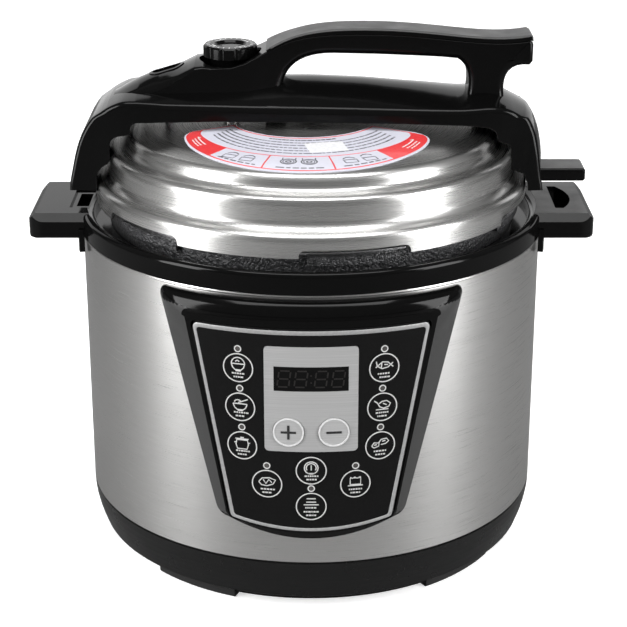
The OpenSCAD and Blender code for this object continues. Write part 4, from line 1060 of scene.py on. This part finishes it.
# Lines of a small generic drawing on each button
ICONS = {
    "rice": [[(-3.6, 2.2), (-3.0, 0.2), (-1.6, -1.2), (1.6, -1.2), (3.0, 0.2), (3.6, 2.2)],
             arc(0, 2.2, 3.6, 0, 180, 10), [(-1.4, -1.8), (1.4, -1.8)], [(-3.6, 2.2), (3.6, 2.2)],
             [(-1.4, 3.4), (-0.4, 4.2), (0.8, 3.5)]],
    "porridge": [[(-3.8, 1.8), (-3, -0.4), (-1.6, -1.6), (1.6, -1.6), (3, -0.4), (3.8, 1.8)],
                 [(-3.8, 1.8), (3.8, 1.8)], [(-1, 2.4), (4.2, 4.6)], arc(-1.2, 2, 2, 20, 160, 6),
                 [(-1.4, -2.1), (1.4, -2.1)]],
    "soup": [[(-2.9, 3.2), (-3.4, 0.6), (-2.6, -2), (2.6, -2), (3.4, 0.6), (2.9, 3.2), (-2.9, 3.2)],
             [(-3.6, 3.8), (3.6, 3.8)], [(-1, 4.6), (1, 4.6)], [(-4.3, 1.6), (-3.4, 1.6)],
             [(3.4, 1.6), (4.3, 1.6)]],
    "stew": [[(-4.4, 1), (-2.6, 3.2), (1.4, 3.6), (4.6, 2.4), (3.2, 0), (0, -1.2), (-3, -0.8), (-4.4, 1)],
             [(-2, 2.4), (-0.6, 0), (1, 2.6), (2.6, 0.8)]],
    "slow_cook": [arc(0, 1.6, 3.6, 240, 600, 18), [(-1.8, -1.6), (1.8, -1.6)], arc(0, 1.6, 2.6, -30, 210, 14),
                  [(0, 0.2), (0, 3.2)]],
    "cancel": [[(-2.4, 4.6), (2.4, 4.6)], [(-4, 1), (4, 1)], [(-2.6, 2.6), (2.6, 2.6)]],
    "cake": [[(-2.8, -0.4), (-2.8, 3.4), (2.8, 3.4), (2.8, -0.4), (-2.8, -0.4)], [(-4, -1), (4, -1)],
             [(-2.8, 4), (-1.6, 3.2), (-0.4, 4), (0.8, 3.2), (2.8, 4)]],
    "meat": [[(-4.6, 0), (-3.4, 1.8), (-0.6, 1.4), (-0.8, -0.4), (-3.4, -1.2), (-4.6, 0)],
             [(-0.8, 1.6), (0.4, 3.4), (3.4, 3.8), (4.6, 2.2), (3, 0.8), (0.4, 0.4)],
             [(-3.4, 0.4), (-1.8, 0.6)], [(1, 2.2), (2.8, 2.6)]],
    "chicken": [[(-4.4, 3.8), (-2.6, 2.4), (-1.4, 0.2), (0.8, -0.8), (3.6, 0), (4.4, 1.8), (2.4, 3.4),
                 (0, 3.2), (-1.8, 2)], [(-3.4, -1.4), (3.4, -1.4)], [(0.4, 2), (2.4, 1)]],
    "fish": [[(-4.4, 3.8), (-3.8, 1.2), (-1.2, -0.4), (2, 0.2), (4.6, 2.6)],
             [(-3.8, 1.2), (-1, 3.4), (2, 3), (4.8, 0.2)], [(-1.6, 0), (-1.4, 3)], [(-4.6, 0.4), (-3.8, 1.2)],
             [(0, 1.8), (2, 1.6)]],
}


def build_prints():
    """Rings, small pictures and strokes on the buttons, and the rings round the lamps."""
    for name, (x, z) in BUTTONS.items():
        turned = face_frame(x, z)

        def put(u, v, h, turned=turned, base=0.5 if name in SIGNS else 0.15):
            return turned @ Vector((u * MM, v * MM, (h + base) * MM))

        body = f"key_{name}"
        bm = bmesh.new()
        if name in SIGNS:
            strip(bm, circle(0, 0, 7.7, 56), 0.75, lambda u, v, h: put(u, v, h * 5 - 0.05), True)
            make(f"{name}_rim", bm, body, M["white_ink"])
            bm = bmesh.new()
            strip(bm, [(-4, 0), (4, 0)], 1.25, lambda u, v, h: put(u, v, h * 3))
            if name == "plus":
                for lo, hi in ((-4, -0.62), (0.62, 4)):
                    strip(bm, [(0, lo), (0, hi)], 1.25, lambda u, v, h: put(u, v, h * 3))
            make(f"{name}_sign", bm, body, M["dark_ink"])
            continue
        strip(bm, circle(0, 0, 7.85, 64), 0.62, put, True)
        rows = [(-3.2, 4.6), (-5.2, 3.4)] if name != "cancel" else [(-0.8, 4.2), (-3.2, 5.4), (-5.3, 3.6)]
        for line in ICONS[name]:
            strip(bm, line, 0.6, put)
        rng = random.Random(name)
        for v, half in rows:
            for u, stop in strokes(rng, -half * 0.75, half * 0.7, 0.6, 1.5, 0.35):
                strip(bm, [(u, v), (stop, v)], 0.85, put)
        make(f"{name}_print", bm, body, M["silver_ink"])
        if name != "slow_cook":
            bm = bmesh.new()
            strip(bm, circle(0, LED_RISE, 1.65, 28), 0.6,
                  lambda u, v, h, turned=turned: turned @ Vector((u * MM, v * MM, (h + 0.02) * MM)), True)
            make(f"{name}_lamp_ring", bm, "cooker_body", M["silver_ink"])

    bm = soften(copied("display_plate"), 2.2, 4, lambda p: abs(abs(p.x) - 24.3) < 0.6 and (
        p.z > 160 or p.z < 102), 60)
    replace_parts(make("display_sheet", bm, "cooker_body", M["plate_silver"]), "display_plate")

    # Unlit digits behind the window
    bm = bmesh.new()

    def put(u, v, h):
        return on_panel(u, v, h * 0.5 + 0.1)

    middle, step = 142.7, 4.5
    for cx in (-14, -5.2, 5.2, 14):
        for row in (-1, 0, 1):
            strip(bm, [(cx + u + row * 0.6, middle + row * step) for u in (-2.4, 2.4)], 0.8, put)
        for u in (-3, 3):
            for row in (-1, 0):
                ends = (row + 0.15, row + 0.85)
                strip(bm, [(cx + u + e * 0.6, middle + e * step) for e in ends], 0.8, put)
    for v in (-2, 2):
        strip(bm, [(-0.4, middle + v), (0.4, middle + v)], 0.8, put)
    make("display_segments", bm, "cooker_body", M["segment"])


build_prints()


# ------------ floor, light and backdrop

# Shade of the floor, and strength of the world, to every ray but the camera's own
FLOOR_SHADE = 0.24
AMBIENT = 0.22


def build_stage():
    """A floor that bends up into a backdrop, in metres."""
    floor = bmesh.new()
    bend = [(3 + 1.2 * math.sin(math.radians(a)), 1.2 - 1.2 * math.cos(math.radians(a)))
            for a in range(10, 91, 10)]
    rows = [[floor.verts.new((x, y, z)) for x in (-9, 9)] for y, z in [(-9, 0), (3, 0)] + bend + [(4.2, 5)]]
    for low, high in zip(rows, rows[1:]):
        floor.faces.new((low[0], low[1], high[1], high[0]))
    mesh = bpy.data.meshes.new("studio_floor")
    for f in floor.faces:
        f.smooth = True
    floor.to_mesh(mesh)
    floor.free()
    obj = added("studio_floor", mesh)
    f = Finish("studio_floor", grey(0.86), roughness=0.9, Emission_Color=(1, 1, 1, 1), Emission_Strength=0.6)
    f.tint(f.noise(3, 2), grey(0.88))
    f.quiet(FLOOR_SHADE)
    paint(obj, f.material)


def softbox(name, azimuth, elevation, distance, width, height, power, target=(0, 0, 0.14)):
    """An area light aimed at the object. Azimuth 0 is the camera's side and 90 the object's right."""
    obj = added(name, bpy.data.lights.new(name, "AREA"))
    obj.data.shape = "RECTANGLE"
    obj.data.size, obj.data.size_y = width, height
    obj.data.energy = power
    a, e = math.radians(azimuth), math.radians(elevation)
    target = Vector(target)
    away = Vector((math.sin(a) * math.cos(e), -math.cos(a) * math.cos(e), math.sin(e)))
    obj.location = target + away * distance
    obj.rotation_mode = "QUATERNION"
    obj.rotation_quaternion = away.to_track_quat("Z", "Y")
    return obj


build_stage()
softbox("left_box", -62, 12, 1.3, width=0.5, height=1.3, power=26)
softbox("right_box", 62, 12, 1.3, width=0.5, height=1.3, power=23)
softbox("top_box", 0, 78, 1.3, width=1.1, height=0.4, power=11)
backdrop_light = softbox("back_box", 180, 0, 1.7, width=4.0, height=1.5, power=19, target=(0, 0, 0.75))
backdrop_light.visible_camera = False

world = bpy.data.worlds.new("studio")
world.use_nodes = True
background = world.node_tree.nodes["Background"]
background.inputs["Color"].default_value = (1, 1, 1, 1)
path = world.node_tree.nodes.new("ShaderNodeLightPath")
strength = world.node_tree.nodes.new("ShaderNodeMapRange")
strength.inputs["To Min"].default_value = AMBIENT
strength.inputs["To Max"].default_value = 1.0
world.node_tree.links.new(path.outputs["Is Camera Ray"], strength.inputs["Value"])
world.node_tree.links.new(strength.outputs[0], background.inputs["Strength"])
bpy.context.scene.world = world
bpy.context.scene.view_settings.view_transform = "Standard"
